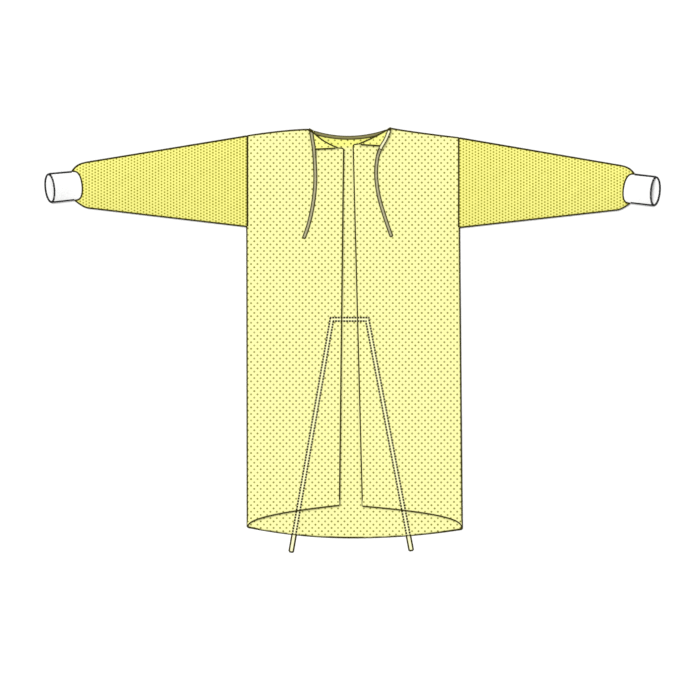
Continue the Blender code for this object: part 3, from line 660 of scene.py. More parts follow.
def sleeve_point(sleeve, travel, angle, inset=0.0):
    """A point of the sleeve: travel 0 to 1 along its taper, and 1 to 2 to the cuff seam."""
    side = sleeve.side
    taper, end = np.clip(travel, 0.0, 1.0), np.clip(travel - 1.0, 0.0, 1.0)
    armhole_x = side.armhole_x + side.sign * SEAM_GAP
    x = armhole_x + (sleeve.taper_x - armhole_x) * taper + (sleeve.joint_x - sleeve.taper_x) * end
    neckward = side.shoulder_y + (sleeve.taper_top_y - side.shoulder_y) * taper
    rounded = WRIST_LEAN * end + (1.0 - WRIST_LEAN) * end ** WRIST_NECKWARD
    neckward = neckward + (sleeve.joint_y + sleeve.joint_half - sleeve.taper_top_y) * rounded
    hemward = side.underarm_y + (sleeve.taper_under_y - side.underarm_y) * taper
    hemward = hemward + (sleeve.joint_y - sleeve.joint_half - sleeve.taper_under_y) * end ** WRIST_HEMWARD
    height = SLEEVE_SIDE + (CUFF_SIDE - SLEEVE_SIDE) * end
    gathered = smooth((travel - GATHER_IN[0]) / GATHER_IN[1])
    gathered = gathered * (1.0 - smooth((end - GATHER_OUT[0]) / GATHER_OUT[1]))
    crown = SLEEVE_SIDE + SLEEVE_CROWN - height + GATHER_DEPTH * np.cos(GATHERS * angle) * gathered
    point = tube_point(
        x, (neckward + hemward) / 2, (neckward - hemward) / 2, height, crown,
        -side.sign * JOINT_TOP * end, side.sign * JOINT_UNDER * end, SEAM_BOW,
        side.sign * sleeve.joint_tilt * end, inset, angle)
    upper = np.clip(np.sin(angle), 0.0, 1.0)
    at = point[..., 0], point[..., 1]
    fade = smooth(travel / SLEEVE_CALM[0]) * (1.0 - smooth(end / SLEEVE_CALM[1]))
    point[..., 2] += (crease_height(SLEEVE_CREASES, *at) + crumple(*at)) * upper ** 2 * fade
    return point


def cuff_point(sleeve, travel, angle, inset_share=0.0):
    """A point of the cuff: travel 0 at the sleeve seam, 1 at the open mouth."""
    side = sleeve.side
    start_x = sleeve.joint_x + side.sign * JOINT_GAP
    start_half = sleeve.joint_half - 2.0 * JOINT_GAP
    inset = (CLOTH_WALL + (CUFF_WALL - CLOTH_WALL) * np.minimum(1.0, 2.0 * travel)) * inset_share
    return tube_point(
        start_x + (sleeve.mouth_x - start_x) * travel,
        sleeve.joint_y + (sleeve.mouth_y - sleeve.joint_y) * travel,
        start_half + (sleeve.mouth_half - start_half) * travel,
        CUFF_SIDE,
        JOINT_CROWN + (CUFF_CROWN - JOINT_CROWN) * smooth(travel),
        -side.sign * (JOINT_TOP + (MOUTH_SPLAY - JOINT_TOP) * travel),
        side.sign * (JOINT_UNDER + (MOUTH_SPLAY - JOINT_UNDER) * travel),
        SEAM_BOW + (1.0 - SEAM_BOW) * travel,
        side.sign * (sleeve.joint_tilt + (sleeve.mouth_tilt - sleeve.joint_tilt) * travel),
        inset, angle)


def sleeve_grid(sleeve):
    """The sleeve's wall: its outer face out to the cuff seam and its inner face back."""
    angle = np.linspace(0.0, 2.0 * pi, SLEEVE_AROUND, endpoint=False)[None, :]
    travel = np.concatenate([
        np.linspace(0.0, 1.0, SLEEVE_RINGS[0], endpoint=False), np.linspace(1.0, 2.0, SLEEVE_RINGS[1]),
    ])[:, None]
    outer = sleeve_point(sleeve, travel, angle)
    inner = sleeve_point(sleeve, travel[::-3], angle, SHELL)
    return Grid(np.concatenate([outer, inner]), ring=True, tube=True)


def even_angles(sleeve, count):
    """Angles that part the cuff's outline at its middle into equal lengths, and that length."""
    fine = np.linspace(0.0, 2.0 * pi, 4001)
    outline = cuff_point(sleeve, 0.5, fine)[:, 1:]
    pace = np.concatenate([[0.0], np.cumsum(np.linalg.norm(np.diff(outline, axis=0), axis=1))])
    return np.interp(np.linspace(0.0, pace[-1], count, endpoint=False), pace, fine), pace[-1]


def cuff_grid(sleeve):
    """The cuff's knit wall: ribs along the arm, rolled over at the mouth, plain inside.

    Each rib is a cosine round the cuff that pulls the outer face in by the furrow's depth.
    """
    girth = even_angles(sleeve, 1)[1]
    count = int(round(girth / KNIT_RIB)) * RIB_STEPS
    angle = even_angles(sleeve, count)[0]
    furrow = 0.5 - 0.5 * np.cos(2.0 * pi * np.arange(count) / RIB_STEPS)
    furrow = (KNIT_DEPTH / CUFF_WALL * furrow)[None, :]
    travel_out = np.linspace(0.0, 1.0, CUFF_RINGS[0])[:, None]
    roll = np.linspace(0.0, pi, CUFF_RINGS[1])[1:-1, None]
    travel_in = np.linspace(1.0, 0.0, CUFF_RINGS[2])[:, None]
    travel = np.concatenate([travel_out, 1.0 + MOUTH_ROLL * np.sin(roll), travel_in])
    depth = np.concatenate([0.0 * travel_out, 0.5 - 0.5 * np.cos(roll), 1.0 + 0.0 * travel_in])
    inset = depth + (1.0 - depth) * furrow
    points = cuff_point(sleeve, travel, angle[None, :], inset)
    length = abs(sleeve.mouth_x - sleeve.joint_x)
    along = np.concatenate([travel, travel[:1]]) * length
    around = np.linspace(0.0, girth, count + 1)
    uv = np.stack(np.broadcast_arrays(around[None, :], along), axis=-1)
    return Grid(points, ring=True, tube=True, uv=uv)


# ---------------------------------------------------------------- tapes and threads
def squared_circle(around, across_power, up_power):
    """Cosine and sine of so many angles, each c a sign(c) |c|^power that squares them off."""
    angle = np.linspace(0.0, 2.0 * pi, around, endpoint=False)
    across, up = np.cos(angle), np.sin(angle)
    return np.sign(across) * np.abs(across) ** across_power, np.sign(up) * np.abs(up) ** up_power


def strip_grid(path, width, under, wall, step=2.0 * MM, around=18):
    """A flat tape carried along a path in plan, its profile a squared oval, its ends rounded.

    under(x, y) is the height of its underside. uv holds the share across and the length.
    """
    path, far = walk(np.array(path), step)
    normal = plan_normal(path)
    reach, squared = squared_circle(around, *TAPE_SQUARED)
    end = np.clip(np.minimum(far, far[-1] - far) / TAPE_END, 0.0, 1.0)
    close = np.sqrt(1.0 - (1.0 - end) ** 2)
    half = width / 2 * (1.0 - TAPE_END_NARROW * (1.0 - close)) * (close > 0.0)
    plan = path[:, None, :] + normal[:, None, :] * (half[:, None] * reach)[..., None]
    full = np.minimum(close[:, None] * 2.0, 1.0)
    height = under(plan[..., 0], plan[..., 1]) + wall / 2 * (1.0 + squared * full)
    points = np.concatenate([plan, height[..., None]], axis=-1)
    wrap = np.append(reach, reach[:1])
    uv = np.stack(np.broadcast_arrays(wrap[None, :] * 0.5, far[:, None]), axis=-1)
    return Grid(points, tube=True, uv=uv)


def overcast_grid(path, half_width, half_height, pitch, around=8):
    """Overcast edge: a tube along the path, pinched between threads that slant round it.

    pinch = 0.5 - 0.5 cos(2 pi s / pitch - angle), with s the way along the path, narrows it
    by PINCH_SHARE and lowers it by PINCH_DEPTH. Its section is a squared oval, as threads
    lie flat on both faces of the cloth. uv holds s / pitch and the share of the turn.
    """
    path, far = walk(path, pitch / 4.0)
    normal = plan_normal(path)
    angle = np.linspace(0.0, 2.0 * pi, around, endpoint=False)
    pinch = 0.5 - 0.5 * np.cos(2.0 * pi * far[:, None] / pitch - angle)
    wide = half_width * (1.0 - PINCH_SHARE * pinch)
    high = half_height - PINCH_DEPTH * pinch
    wide[[0, -1]] = 0.0
    high[[0, -1]] = 0.0
    across, up = squared_circle(around, SQUARENESS, SQUARENESS)
    plan = path[:, None, :2] + normal[:, None, :] * (wide * across)[..., None]
    height = path[:, None, 2] + high * up
    points = np.concatenate([plan, height[..., None]], axis=-1)
    turn = np.linspace(0.0, 1.0, around + 1)
    uv = np.stack(np.broadcast_arrays(far[:, None] / pitch, turn[None, :]), axis=-1)
    return Grid(points, tube=True, uv=uv)


def path3(x, y, z):
    """A path in space from its three coordinates."""
    return np.stack(np.broadcast_arrays(x, y, z), axis=-1).astype(float)


def binding_path():
    """The neck binding's centre line: the neckline, moved in."""
    x = np.linspace(LEFT.neck_x + TAPE_WIDTH, RIGHT.neck_x - TAPE_WIDTH, 90)
    return np.column_stack([x, front_top(x) - BINDING_INSET])


def binding_under(x, y):
    """Height of the neck binding's underside, on the front."""
    return front_under(x, y) + CLOTH_WALL + LIE_GAP


def tie_path(side):
    """A tie's centre line, from its neck point to its free end."""
    return curve_through(np.array(TIE_ROUTES[side.name]) * MM, TIE_STEPS)


def tie_under(side):
    """Height of a tie's underside: on the lapel, then down on the panel."""
    at_fold = fold_line(side, np.array(side.lapel_along))
    tip = at_fold - (side.lapel_out - pi * FOLD_RADIUS) * fold_frame(side)[3]

    def under(x, y):
        over_lapel = smooth((y - tip[1] + TIE_FOOT) / TIE_RAMP)
        lapel_top = 2.0 * FOLD_RADIUS + LIE_GAP
        panel_top = SHELL + LIE_GAP
        return back_under(side, x, y) + panel_top + (lapel_top - panel_top) * over_lapel

    return under


def belt_path():
    """The belt's centre line at even steps, which round off its two corners slightly."""
    return walk(np.array(BELT_PATH), 2.0 * MM)[0]


def belt_under(x, y):
    """Height of the belt's underside: it lies on the table."""
    return np.zeros_like(x)


def tape_edges(path, width, under, trim, inset=TAPE_INSET, free_ends=(), around=8, share=1.0):
    """Overcast threads along both edges of a tape, and across the ends that are free."""
    path = walk(np.array(path), 1.0 * MM)[0]
    normal = plan_normal(path)
    half = trim.tape_edge_half * share
    reach = width / 2 - inset * half
    lines = [path - normal * reach, path + normal * reach]
    across = np.linspace(-reach, reach, 12)[:, None]
    lines += [path[end] + normal[end] * across for end in free_ends]
    high = TAPE_WALL / 2 + TAPE_EDGE_LIFT
    made = []
    for line in lines:
        height = under(line[:, 0], line[:, 1]) + TAPE_WALL / 2
        made.append(overcast_grid(path3(*line.T, height), half, high, trim.pitch, around))
    return made


def tack_grids(trim):
    """Bar tacks: one at each neck point, and one across the right tie where its cream ends."""
    tacks = [(side, *np.array(NECK_TACKS[side.name]), TACK_SHARE * trim.edge_half, TACK_HALF_HEIGHT)
             for side in (LEFT, RIGHT)]
    path = walk(tie_path(RIGHT), 1.0 * MM)[0]
    at = int(np.argmin(np.abs(path[:, 1] - CREAM_END)))
    across = plan_normal(path)[at] * TAPE_WIDTH / 2
    tacks.append((RIGHT, path[at] - across, path[at] + across, CREAM_TACK_SHARE * trim.tape_edge_half,
                  CREAM_TACK_HALF_HEIGHT))
    made = []
    for side, start, end, wide, high in tacks:
        plan = start + (end - start) * np.linspace(0.0, 1.0, 12)[:, None]
        height = tie_under(side)(plan[:, 0], plan[:, 1]) + TAPE_WALL
        made.append(overcast_grid(path3(*plan.T, height), wide, high, trim.pitch))
    return made


def body_edge_paths(trim):
    """Overcast edges of the front and the seams that join it to the backs."""
    half = trim.edge_half
    made = []
    x = np.linspace(LEFT.hem_x, RIGHT.hem_x, 300)
    high = SHELL / 2 + THREAD_LIFT
    made.append((path3(x, front_hem(x), high + FRONT_HEM_LIFT), half, high))
    for side in (LEFT, RIGHT):
        y = np.linspace(side.hem_corner_y, side.underarm_y, 200)
        top = back_under(side, side_x(side, y), y) + SHELL + THREAD_LIFT
        made.append((path3(side_x(side, y), y, top / 2), half, float(top.mean()) / 2))
        x = np.linspace(side.armhole_x, side.neck_x, 120)
        y = shoulder_line(side, x)
        top = back_under(side, x, y) + SHELL + THREAD_LIFT
        made.append((path3(x, y, top - SEAM_HALF_HEIGHT), WIDE_EDGE * half, SEAM_HALF_HEIGHT))
        y = np.linspace(side.shoulder_y, side.underarm_y, 160)
        top = back_under(side, np.full_like(y, side.armhole_x), y) + CLOTH_WALL
        x = side.armhole_x - side.sign * ARMHOLE_INSET
        made.append((path3(x, y, top - THREAD_LIFT), half, ARMHOLE_HALF_HEIGHT))
    return made


def back_edge_paths(side, trim):
    """Overcast edges of one back: hem, opening with its corner, fold and the lapel's edge."""
    half, thick = OPEN_EDGE * trim.edge_half, SHELL / 2 + THREAD_LIFT
    share = np.linspace(0.0, 1.0, 200)
    x, y, _ = back_point(side, share, 0.0, side.open_top_y)
    hem = path3(x, y, back_under(side, x, y) + SHELL / 2 + HEM_STEP)
    x, y, _ = back_point(side, 1.0, np.linspace(0.0, 1.0, 480), side.open_top_y - CORNER_RADIUS)
    plan = np.concatenate([
        np.column_stack([x, y]), corner_edge(side, 16)[::-1], [(side.fold_x, side.fold_y)],
    ])
    opening = path3(plan[:, 0], plan[:, 1], back_under(side, plan[:, 0], plan[:, 1]) + SHELL / 2)
    length = fold_frame(side)[2]
    along = np.linspace(0.0, length, 120)
    crest = folded(side, along, np.full_like(along, pi * FOLD_RADIUS * CREST_TURN))
    lower = np.linspace(side.lapel_along, length - LAPEL_CLOSE, 120)
    edge = folded(side, lower, lapel_width(side, lower)) - np.array([0.0, 0.0, SHELL / 2])
    return [(hem, half, thick), (opening, half, thick), (crest, half, FOLD_RADIUS), (edge, half, thick)]


def sleeve_edge_paths(sleeve, trim):
    """Overcast seams along both folds of a sleeve, and over its seam to the cuff."""
    half = trim.edge_half
    travel = np.concatenate([
        np.linspace(0.0, 1.0, 200, endpoint=False), np.linspace(1.0, 2.0, 80),
    ])
    made = []
    high = SLEEVE_SIDE / 2 + THREAD_LIFT
    for angle, wide in ((0.0, half), (pi, LOWER_EDGE * half)):
        fold = sleeve_point(sleeve, travel, np.full_like(travel, angle))
        fold[:, 2] = np.maximum(fold[:, 2], high)
        made.append((fold, wide, high))
    angle = pi * (0.5 - 0.5 * np.cos(np.linspace(0.0, pi, 240)))
    seam = sleeve_point(sleeve, np.full_like(angle, 2.0), angle)
    made.append((seam, LOWER_EDGE * half, CUFF_SEAM_HALF_HEIGHT))
    return made


def cuff_edge_paths(sleeve, trim):
    """Threads along both folds of a cuff and round its mouth."""
    half = trim.edge_half
    travel = np.linspace(0.0, 1.0, 60)
    made = []
    high = CUFF_SIDE / 2 + THREAD_LIFT
    for angle, wide in ((0.0, WIDE_EDGE * half), (pi, LOWER_EDGE * half)):
        fold = cuff_point(sleeve, travel, np.full_like(travel, angle))
        fold[:, 2] = np.maximum(fold[:, 2], high)
        made.append((fold, wide, high))
    angle = np.linspace(0.0, 2.0 * pi, 400)
    mouth = cuff_point(sleeve, np.ones_like(angle), angle, 0.5)
    mouth[:, 2] = np.maximum(mouth[:, 2], SEAM_HALF_HEIGHT)
    made.append((mouth, WIDE_EDGE * half, SEAM_HALF_HEIGHT))
    return made


# ---------------------------------------------------------------- shaders
class Field:
    """A shader value; Python's operators on it add Math nodes to its tree."""

    def __init__(self, tree, socket=None):
        self.tree = tree
        self.socket = socket

    def make(self, kind, settings=None, inputs=None, out=0):
        """Add any node: its settings first, then its inputs' values or links."""
        node = self.tree.nodes.new("ShaderNode" + kind)
        for name, value in (settings or {}).items():
            if name == "stops":
                ramp = node.color_ramp
                while len(ramp.elements) < len(value):
                    ramp.elements.new(1.0)
                for element, (place, color) in zip(ramp.elements, value):
                    element.position = place
                    element.color = (*color, 1.0)
            else:
                setattr(node, name, value)
        for key, value in (inputs or {}).items():
            if isinstance(value, Field):
                self.tree.links.new(value.socket, node.inputs[key])
            else:
                node.inputs[key].default_value = value
        return Field(self.tree, node.outputs[out] if len(node.outputs) else None)

    def math(self, operation, *others):
        """A Math node on this value."""
        return self.make("Math", {"operation": operation}, dict(enumerate((self, *others))))

    def __add__(self, other):
        return self.math("ADD", other)

    __radd__ = __add__

    def __sub__(self, other):
        return self.math("SUBTRACT", other)

    def __rsub__(self, other):
        return self.make("Math", {"operation": "SUBTRACT"}, {0: other, 1: self})

    def __mul__(self, other):
        return self.math("MULTIPLY", other)

    __rmul__ = __mul__

    def __truediv__(self, other):
        return self.math("DIVIDE", other)

    def __abs__(self):
        return self.math("ABSOLUTE")

    def step(self, low, high):
        """0 below low, 1 above high, and an S-step between; reversed if low > high."""
        if low > high:
            return 1.0 - self.step(high, low)
        return self.make("MapRange", {"interpolation_type": "SMOOTHSTEP"}, {0: self, 1: low, 2: high})


def surface(field):
    """Object coordinates, and the two parts of the piece's own UV map."""
    first = field.make("SeparateXYZ", {}, {0: field.make("TexCoord", out="UV")})
    second = Field(field.tree, first.socket.node.outputs[1])
    return field.make("TexCoord", out="Object"), first, second


def blend(factor, a, b):
    """Mix of two colours, each a Field or a constant."""
    a, b = [one if isinstance(one, Field) else (*one, 1.0) for one in (a, b)]
    return factor.make("Mix", {"data_type": "RGBA"}, {0: factor, 6: a, 7: b}, out=2)


def vector(operation, a, *others, out=0):
    """A Vector Math node on a vector Field."""
    return a.make("VectorMath", {"operation": operation}, dict(enumerate((a, *others))), out=out)


def noise(at, scale, detail=2.0, stretch=(1.0, 1.0, 1.0)):
    """Noise of so many cells to the metre, 0 to 1."""
    placed = at.make("Mapping", {}, {"Vector": at, "Scale": stretch})
    return at.make("TexNoise", {}, {"Vector": placed, "Scale": scale, "Detail": detail}, out="Fac")


def start_material(name, **constants):
    """A new material, its shader node and an empty Field of its tree."""
    material = bpy.data.materials.new(name)
    material.use_nodes = True
    shader = material.node_tree.nodes["Principled BSDF"]
    for socket, value in constants.items():
        shader.inputs[socket.replace("_", " ")].default_value = value
    return material, shader, Field(material.node_tree)


def finish_material(field, shader, color, roughness, height, distance):
    """Feed the shader's colour, roughness and bump."""
    bump = field.make("Bump", {}, {"Strength": 1.0, "Distance": distance, "Height": height})
    for socket, value in (("Base Color", color), ("Roughness", roughness), ("Normal", bump)):
        field.tree.links.new(value.socket, shader.inputs[socket])


def wave(turns):
    """0.5 + 0.5 sin(2 pi turns)."""
    return (turns * (2.0 * pi)).math("SINE") * 0.5 + 0.5


def lattice(at, pitch, start):
    """Distance in plan to the nearest point of a lattice."""
    moved = vector("SUBTRACT", at, (*start, 0.0))
    half = (0.5, 0.5, 0.0)
    cells = vector("ADD", vector("DIVIDE", moved, (*pitch, 1.0)), half)
    share = vector("SUBTRACT", vector("FRACTION", cells), half)
    return vector("LENGTH", vector("MULTIPLY", share, (*pitch, 0.0)), out=1)


def quincunx(at, pitch, start):
    """Distance to the nearest dot of a lattice and its copy half a pitch along both ways."""
    middle = (start[0] + pitch[0] / 2, start[1] + pitch[1] / 2)
    return lattice(at, pitch, start).math("MINIMUM", lattice(at, pitch, middle))


def belt_fields(at):
    """Signed distance from the belt's centre line, and the way along it, in plan.

    Each of its three straight runs has a distance, positive outside; the largest one is
    the belt's own, mitred at its corners.
    """
    runs = []
    for (ax, ay), (bx, by) in zip(BELT_PATH[:-1], BELT_PATH[1:]):
        length = float(np.hypot(bx - ax, by - ay))
        ux, uy = (bx - ax) / length, (by - ay) / length
        moved = vector("SUBTRACT", at, (ax, ay, 0.0))
        off = vector("DOT_PRODUCT", moved, (-uy, ux, 0.0), out=1)
        along = vector("DOT_PRODUCT", moved, (ux, uy, 0.0), out=1)
        runs.append((off, along))
    off = runs[0][0].math("MAXIMUM", runs[1][0]).math("MAXIMUM", runs[2][0])
    on_bar = (runs[1][0] - off + 1e-5).math("GREATER_THAN", 0.0)
    at_left = at.make("SeparateXYZ", {}, {0: at}).math("LESS_THAN", BELT_MIDDLE)
    tail = runs[0][1] * at_left + runs[2][1] * (1.0 - at_left)
    return off, runs[1][1] * on_bar + tail * (1.0 - on_bar)


def cloth_material(name, look, yellow, dot_color, pitch, start, dot_size, belt_shows, neck_tone=None):
    """Spunbonded cloth: faint fibres, tiny bond points, and rows of dots set into it. With belt_shows,
    the belt under it is painted in as a lighter band, with painted shadow lines, dashed, along its edges.
    """
    material, shader, field = start_material(
        name, Sheen_Weight=0.08, Sheen_Roughness=0.5, Specular_IOR_Level=0.12)
    shader.inputs["Sheen Tint"].default_value = (1.0, 1.0, 0.9, 1.0)
    space = field.make("TexCoord", out="Object")
    plan = vector("MULTIPLY", space, (1.0, 1.0, 0.0))
    cloudy = noise(space, 9.0, 3.0)
    fibres = noise(space, 420.0, 4.0, (1.0, 0.22, 1.0)) + noise(space, 420.0, 4.0, (0.22, 1.0, 1.0))
    tone = (cloudy - 0.5) * 0.10 + (fibres - 1.0) * look.fibre
    deep = tuple(c * s for c, s in zip(yellow, (0.94, 0.93, 0.82)))
    pale = tuple(min(1.0, c * s) for c, s in zip(yellow, (1.03, 1.03, 1.18)))
    color = blend((tone * 1.1 + 0.5).step(0.0, 1.0), deep, pale)
    if neck_tone is not None:
        height = field.make("SeparateXYZ", {}, {0: plan}, out=1)
        color = blend(height.step(*NECK_TONE) * 0.95, color, neck_tone)
    far = quincunx(plan, pitch, start)
    dots = far.step(dot_size * DOT_EDGE[0], dot_size * DOT_EDGE[1])
    patchy = noise(plan, 60.0, 1.0).step(0.25, 0.7) * 0.25 + 0.75
    seen = dots * patchy
    relief = fibres * 0.10 - dots * 0.5
    relief = relief - quincunx(plan, BOND_PITCH, (0.0, 0.0)).step(*BOND_EDGE) * 0.32
    # Painted show-through of the belt under the cloth: a lighter band, and painted shadow lines, dashed
    # like stitches, along its edges.
    if belt_shows:
        off, along = belt_fields(plan)
        inside = abs(off).step(BELT_WIDTH / 2 + BELT_BLUR, BELT_WIDTH / 2 - BELT_BLUR)
        off_line = abs(abs(off) - (BELT_WIDTH / 2 - PAINTED_BELT_SHADOW_INSET))
        edge = off_line.step(look.dash_width * 0.58, look.dash_width * 0.42)
        beat = abs((along / look.dash_pitch).math("FRACT") - 0.5)
        dash = beat.step(look.dash_share / 2 + 0.05, look.dash_share / 2 - 0.05)
        seen = seen * (1.0 - inside)
        color = blend(inside * 0.8, color, look.belt_through)
        color = blend(seen, color, dot_color)
        color = blend(edge * dash, color, look.outline)
    else:
        color = blend(seen, color, dot_color)
    rough = 0.78 + (fibres - 1.0) * 0.2 - dots * 0.12
    finish_material(field, shader, color, rough, relief, 0.45 * MM)
    return material


def knit_material(look):
    """Rib knit: wales down each rib as slanted loops, with painted shade in the furrows and between the
    loops.
    """
    material, shader, field = start_material(
        "rib knit", Sheen_Weight=0.25, Sheen_Roughness=0.6, Specular_IOR_Level=0.2)
    space, around, along = surface(field)
    rib = abs((around / KNIT_RIB).math("FRACT") - 0.5) * 2.0
    slant = abs((around / (KNIT_RIB / 2)).math("FRACT") - 0.5)
    loops = wave(along / KNIT_WALE + slant * 1.1)
    fuzz = noise(space, 1500.0, 3.0)
    cloudy = noise(space, 30.0, 2.0)
    # Painted shade in the furrows between the ribs and between the loops, with random tone from fuzz and
    # cloud.
    furrow = rib.step(0.45, 0.0)
    shade = furrow * 0.5 + (1.0 - loops) * 0.3 + (fuzz - 0.5) * 0.3 + (cloudy - 0.5) * 0.3
    color = blend(shade.step(0.0, 1.0), look.knit, look.knit_shade)
    rough = 0.86 + (fuzz - 0.5) * 0.2
    finish_material(field, shader, color, rough, loops * 0.7 + fuzz * 0.3, 0.35 * MM)
    return material


def tape_material(name, middle, edge, weave, sheen, cream=None):
    """Woven tape: fine warp lines along it, cross ribs with painted shade between the threads, and
    painted shade on its sides.

    With a cream colour, the tape has it above CREAM_END.
    """
    material, shader, field = start_material(
        name, Sheen_Weight=sheen, Sheen_Roughness=0.45, Specular_IOR_Level=0.1)
    space, across, along = surface(field)
    warp = wave(across * weave)
    weft = wave(along / WEFT_PITCH)
    fuzz = noise(space, 900.0, 3.0)
    cloudy = noise(space, 40.0, 2.0)
    # Painted shade: the sides darken towards the edge colour, and the gaps between warp and weft darken a
    # little; fuzz and cloud add random tone.
    side = abs(across).step(0.22, 0.42)
    shade = side * 0.75 + (1.0 - warp * weft) * 0.18 + (fuzz - 0.5) * 0.25 + (cloudy - 0.5) * 0.25
    color = blend(shade.step(0.0, 1.0), middle, edge)
    if cream is not None:
        height = field.make("SeparateXYZ", {}, {0: space}, out=1)
        color = blend(height.step(CREAM_END - 0.5 * MM, CREAM_END + 0.5 * MM), color,
                      blend(shade.step(0.0, 1.4), cream, middle))
    rough = 0.74 + (fuzz - 0.5) * 0.25
    finish_material(field, shader, color, rough, warp * 0.4 + weft * 0.4 + fuzz * 0.3, 0.25 * MM)
    return material


def thread_material(name, color, light):
    """Sewing thread wound round an edge: painted highlight on its crowns, painted shade in its grooves,
    and its own fine twist.
    """
    material, shader, field = start_material(
        name, Sheen_Weight=0.01, Sheen_Roughness=0.4, Specular_IOR_Level=0.06)
    space, turns, round_by = surface(field)
    wound = (turns - round_by).math("FRACT")
    crown = 1.0 - abs(wound - 0.5) * 2.0
    groove = crown.step(0.25, 0.95)
    twist = wave(wound * 3.0 + round_by * 24.0)
    fuzz = noise(space, 700.0, 2.0)
    # Painted highlight on each turn's crown and painted shade in the grooves between turns: the mix runs
    # from the thread's colour to its lit copy.
    shade = groove * 0.75 + twist * 0.12 + (fuzz - 0.5) * 0.4
    mixed = blend(shade.step(0.0, 1.0), color, light)
    rough = 0.62 + (fuzz - 0.5) * 0.3
    finish_material(field, shader, mixed, rough, twist * 0.3 + fuzz * 0.2, 0.12 * MM)
    return material


# ---------------------------------------------------------------- settings
def color_property(name, description, default):
    """A colour setting."""
    return FloatVectorProperty(name=name, description=description, default=default,
                               subtype="COLOR", size=3, min=0.0, max=1.0)


def length_property(name, description, default):
    """A length setting, in metres."""
    return FloatProperty(name=name, description=description, default=default,
                         unit="LENGTH", subtype="DISTANCE", min=0.0)


class GownClothSettings(bpy.types.PropertyGroup):
    """Colours and pattern sizes of the gown's cloth."""

    body: color_property("Body", "Colour of the body's cloth", (0.885, 0.872, 0.37))
    body_dots: color_property("Body dots", "Colour of the body's dots", (0.20, 0.193, 0.018))
    neck: color_property("Inside of neck", "Deeper tone inside the neck", (0.88, 0.875, 0.21))
    lapel: color_property("Turned corners", "Inside face of the back, turned out", (0.90, 0.89, 0.25))
    sleeve: color_property("Sleeves", "Colour of the sleeves' cloth", (0.86, 0.83, 0.215))
    sleeve_dots: color_property("Sleeve dots", "Colour of the sleeves' dots", (0.28, 0.262, 0.008))
    # Painted show-through of the belt under the cloth, as a lighter band.
    belt_through: color_property("Belt through cloth", "Tone of the belt where it shows through",
                                 (0.93, 0.915, 0.50))
    # Painted shadow lines along the belt's edges, dashed like stitches; the dash settings below set their
    # dashes.
    outline: color_property("Belt stitching", "Stitch lines of the belt through the cloth",
                            (0.020, 0.016, 0.001))
    dot_size: length_property("Dot size", "Width of one dot", 5.5 * MM)
    body_pitch: length_property("Body dot pitch", "Between dots of one row of the body", 18.15 * MM)
    body_rows: length_property("Body dot rows", "Between dots of one column of the body", 18.36 * MM)
    sleeve_pitch: length_property("Sleeve dot pitch", "Between dots of one row of a sleeve", 16.99 * MM)
    sleeve_rows: length_property("Sleeve dot rows", "Between dots of one column of a sleeve", 8.55 * MM)
    dash_pitch: length_property("Dash pitch", "One stitch and its gap along the belt", 7.8 * MM)
    dash_width: length_property("Dash width", "Width of the belt's stitch lines", 5.2 * MM)
    dash_share: FloatProperty(name="Dash share", description="Share of the pitch that is stitch",
                              default=0.8, min=0.0, max=1.0, subtype="FACTOR")
    fibre: FloatProperty(name="Fibre contrast", description="How far the fibres vary the tone",
                         default=0.35, min=0.0, max=1.0, subtype="FACTOR")


class GownTrimSettings(bpy.types.PropertyGroup):
    """Colours and sizes of the cuffs, tapes and thread."""

    knit: color_property("Knit", "Colour of the cuffs", (0.985, 0.985, 0.98))
    # knit_shade is painted shade for the furrows between the ribs.
    knit_shade: color_property("Knit furrows", "Colour between the ribs", (0.87, 0.87, 0.86))
    tape: color_property("Tape", "Middle of the neck tape", (0.42, 0.395, 0.235))
    # tape_edge is painted shade on the sides of the neck tapes.
    tape_edge: color_property("Tape side", "Sides of the neck tape", (0.13, 0.118, 0.035))
    binding: color_property("Binding", "Middle of the neck binding", (0.23, 0.21, 0.085))
    cream: color_property("Cream tape", "Upper part of the right tie", (0.90, 0.88, 0.55))
    belt: color_property("Belt", "Middle of the belt", (0.90, 0.885, 0.56))
    # belt_edge is painted shade on the belt's sides.
    belt_edge: color_property("Belt side", "Sides of the belt", (0.60, 0.57, 0.30))
    thread: color_property("Thread", "Overcasting thread", (0.022, 0.018, 0.001))
    # The lit thread colour is a painted highlight on the crowns of the thread's turns.
    thread_painted_highlight: color_property("Thread, lit", "Crowns of the overcasting thread", (0.060, 0.050, 0.003))
    cuff_thread: color_property("Cuff thread", "Thread round the cuffs", (0.012, 0.012, 0.012))
    # The same painted highlight, for the cuff thread.
    cuff_thread_painted_highlight: color_property("Cuff thread, lit", "Crowns of that thread", (0.04, 0.04, 0.04))
    edge_half: length_property("Edge half width", "Half the width of an overcast edge", 3.0 * MM)
    tape_edge_half: length_property("Tape edge half width", "The same along a tape", 2.2 * MM)
    pitch: length_property("Thread pitch", "Between turns of the overcasting thread", 2.2 * MM)


class GownStageSettings(bpy.types.PropertyGroup):
    """Camera and light."""

    frame_width: length_property("Frame width", "Width of the picture at the gown", 1.9733)
    middle: FloatVectorProperty(name="Middle", description="Point of the table under the camera",
                                size=2, default=(-7.2 * MM, -27.1 * MM), unit="LENGTH", subtype="XYZ")
    lens: FloatProperty(name="Lens", description="Focal length in mm on a 36 mm sensor",
                        default=100.0, min=1.0)
    ambient: FloatProperty(name="Ambient", description="Strength of the light from all round",
                           default=0.66, min=0.0)
    key: FloatProperty(name="Key light", description="Strength of the soft key light, in W/m2",
                       default=2.5, min=0.0)
    floor: color_property("Floor", "Colour of the table", (0.96, 0.96, 0.96))


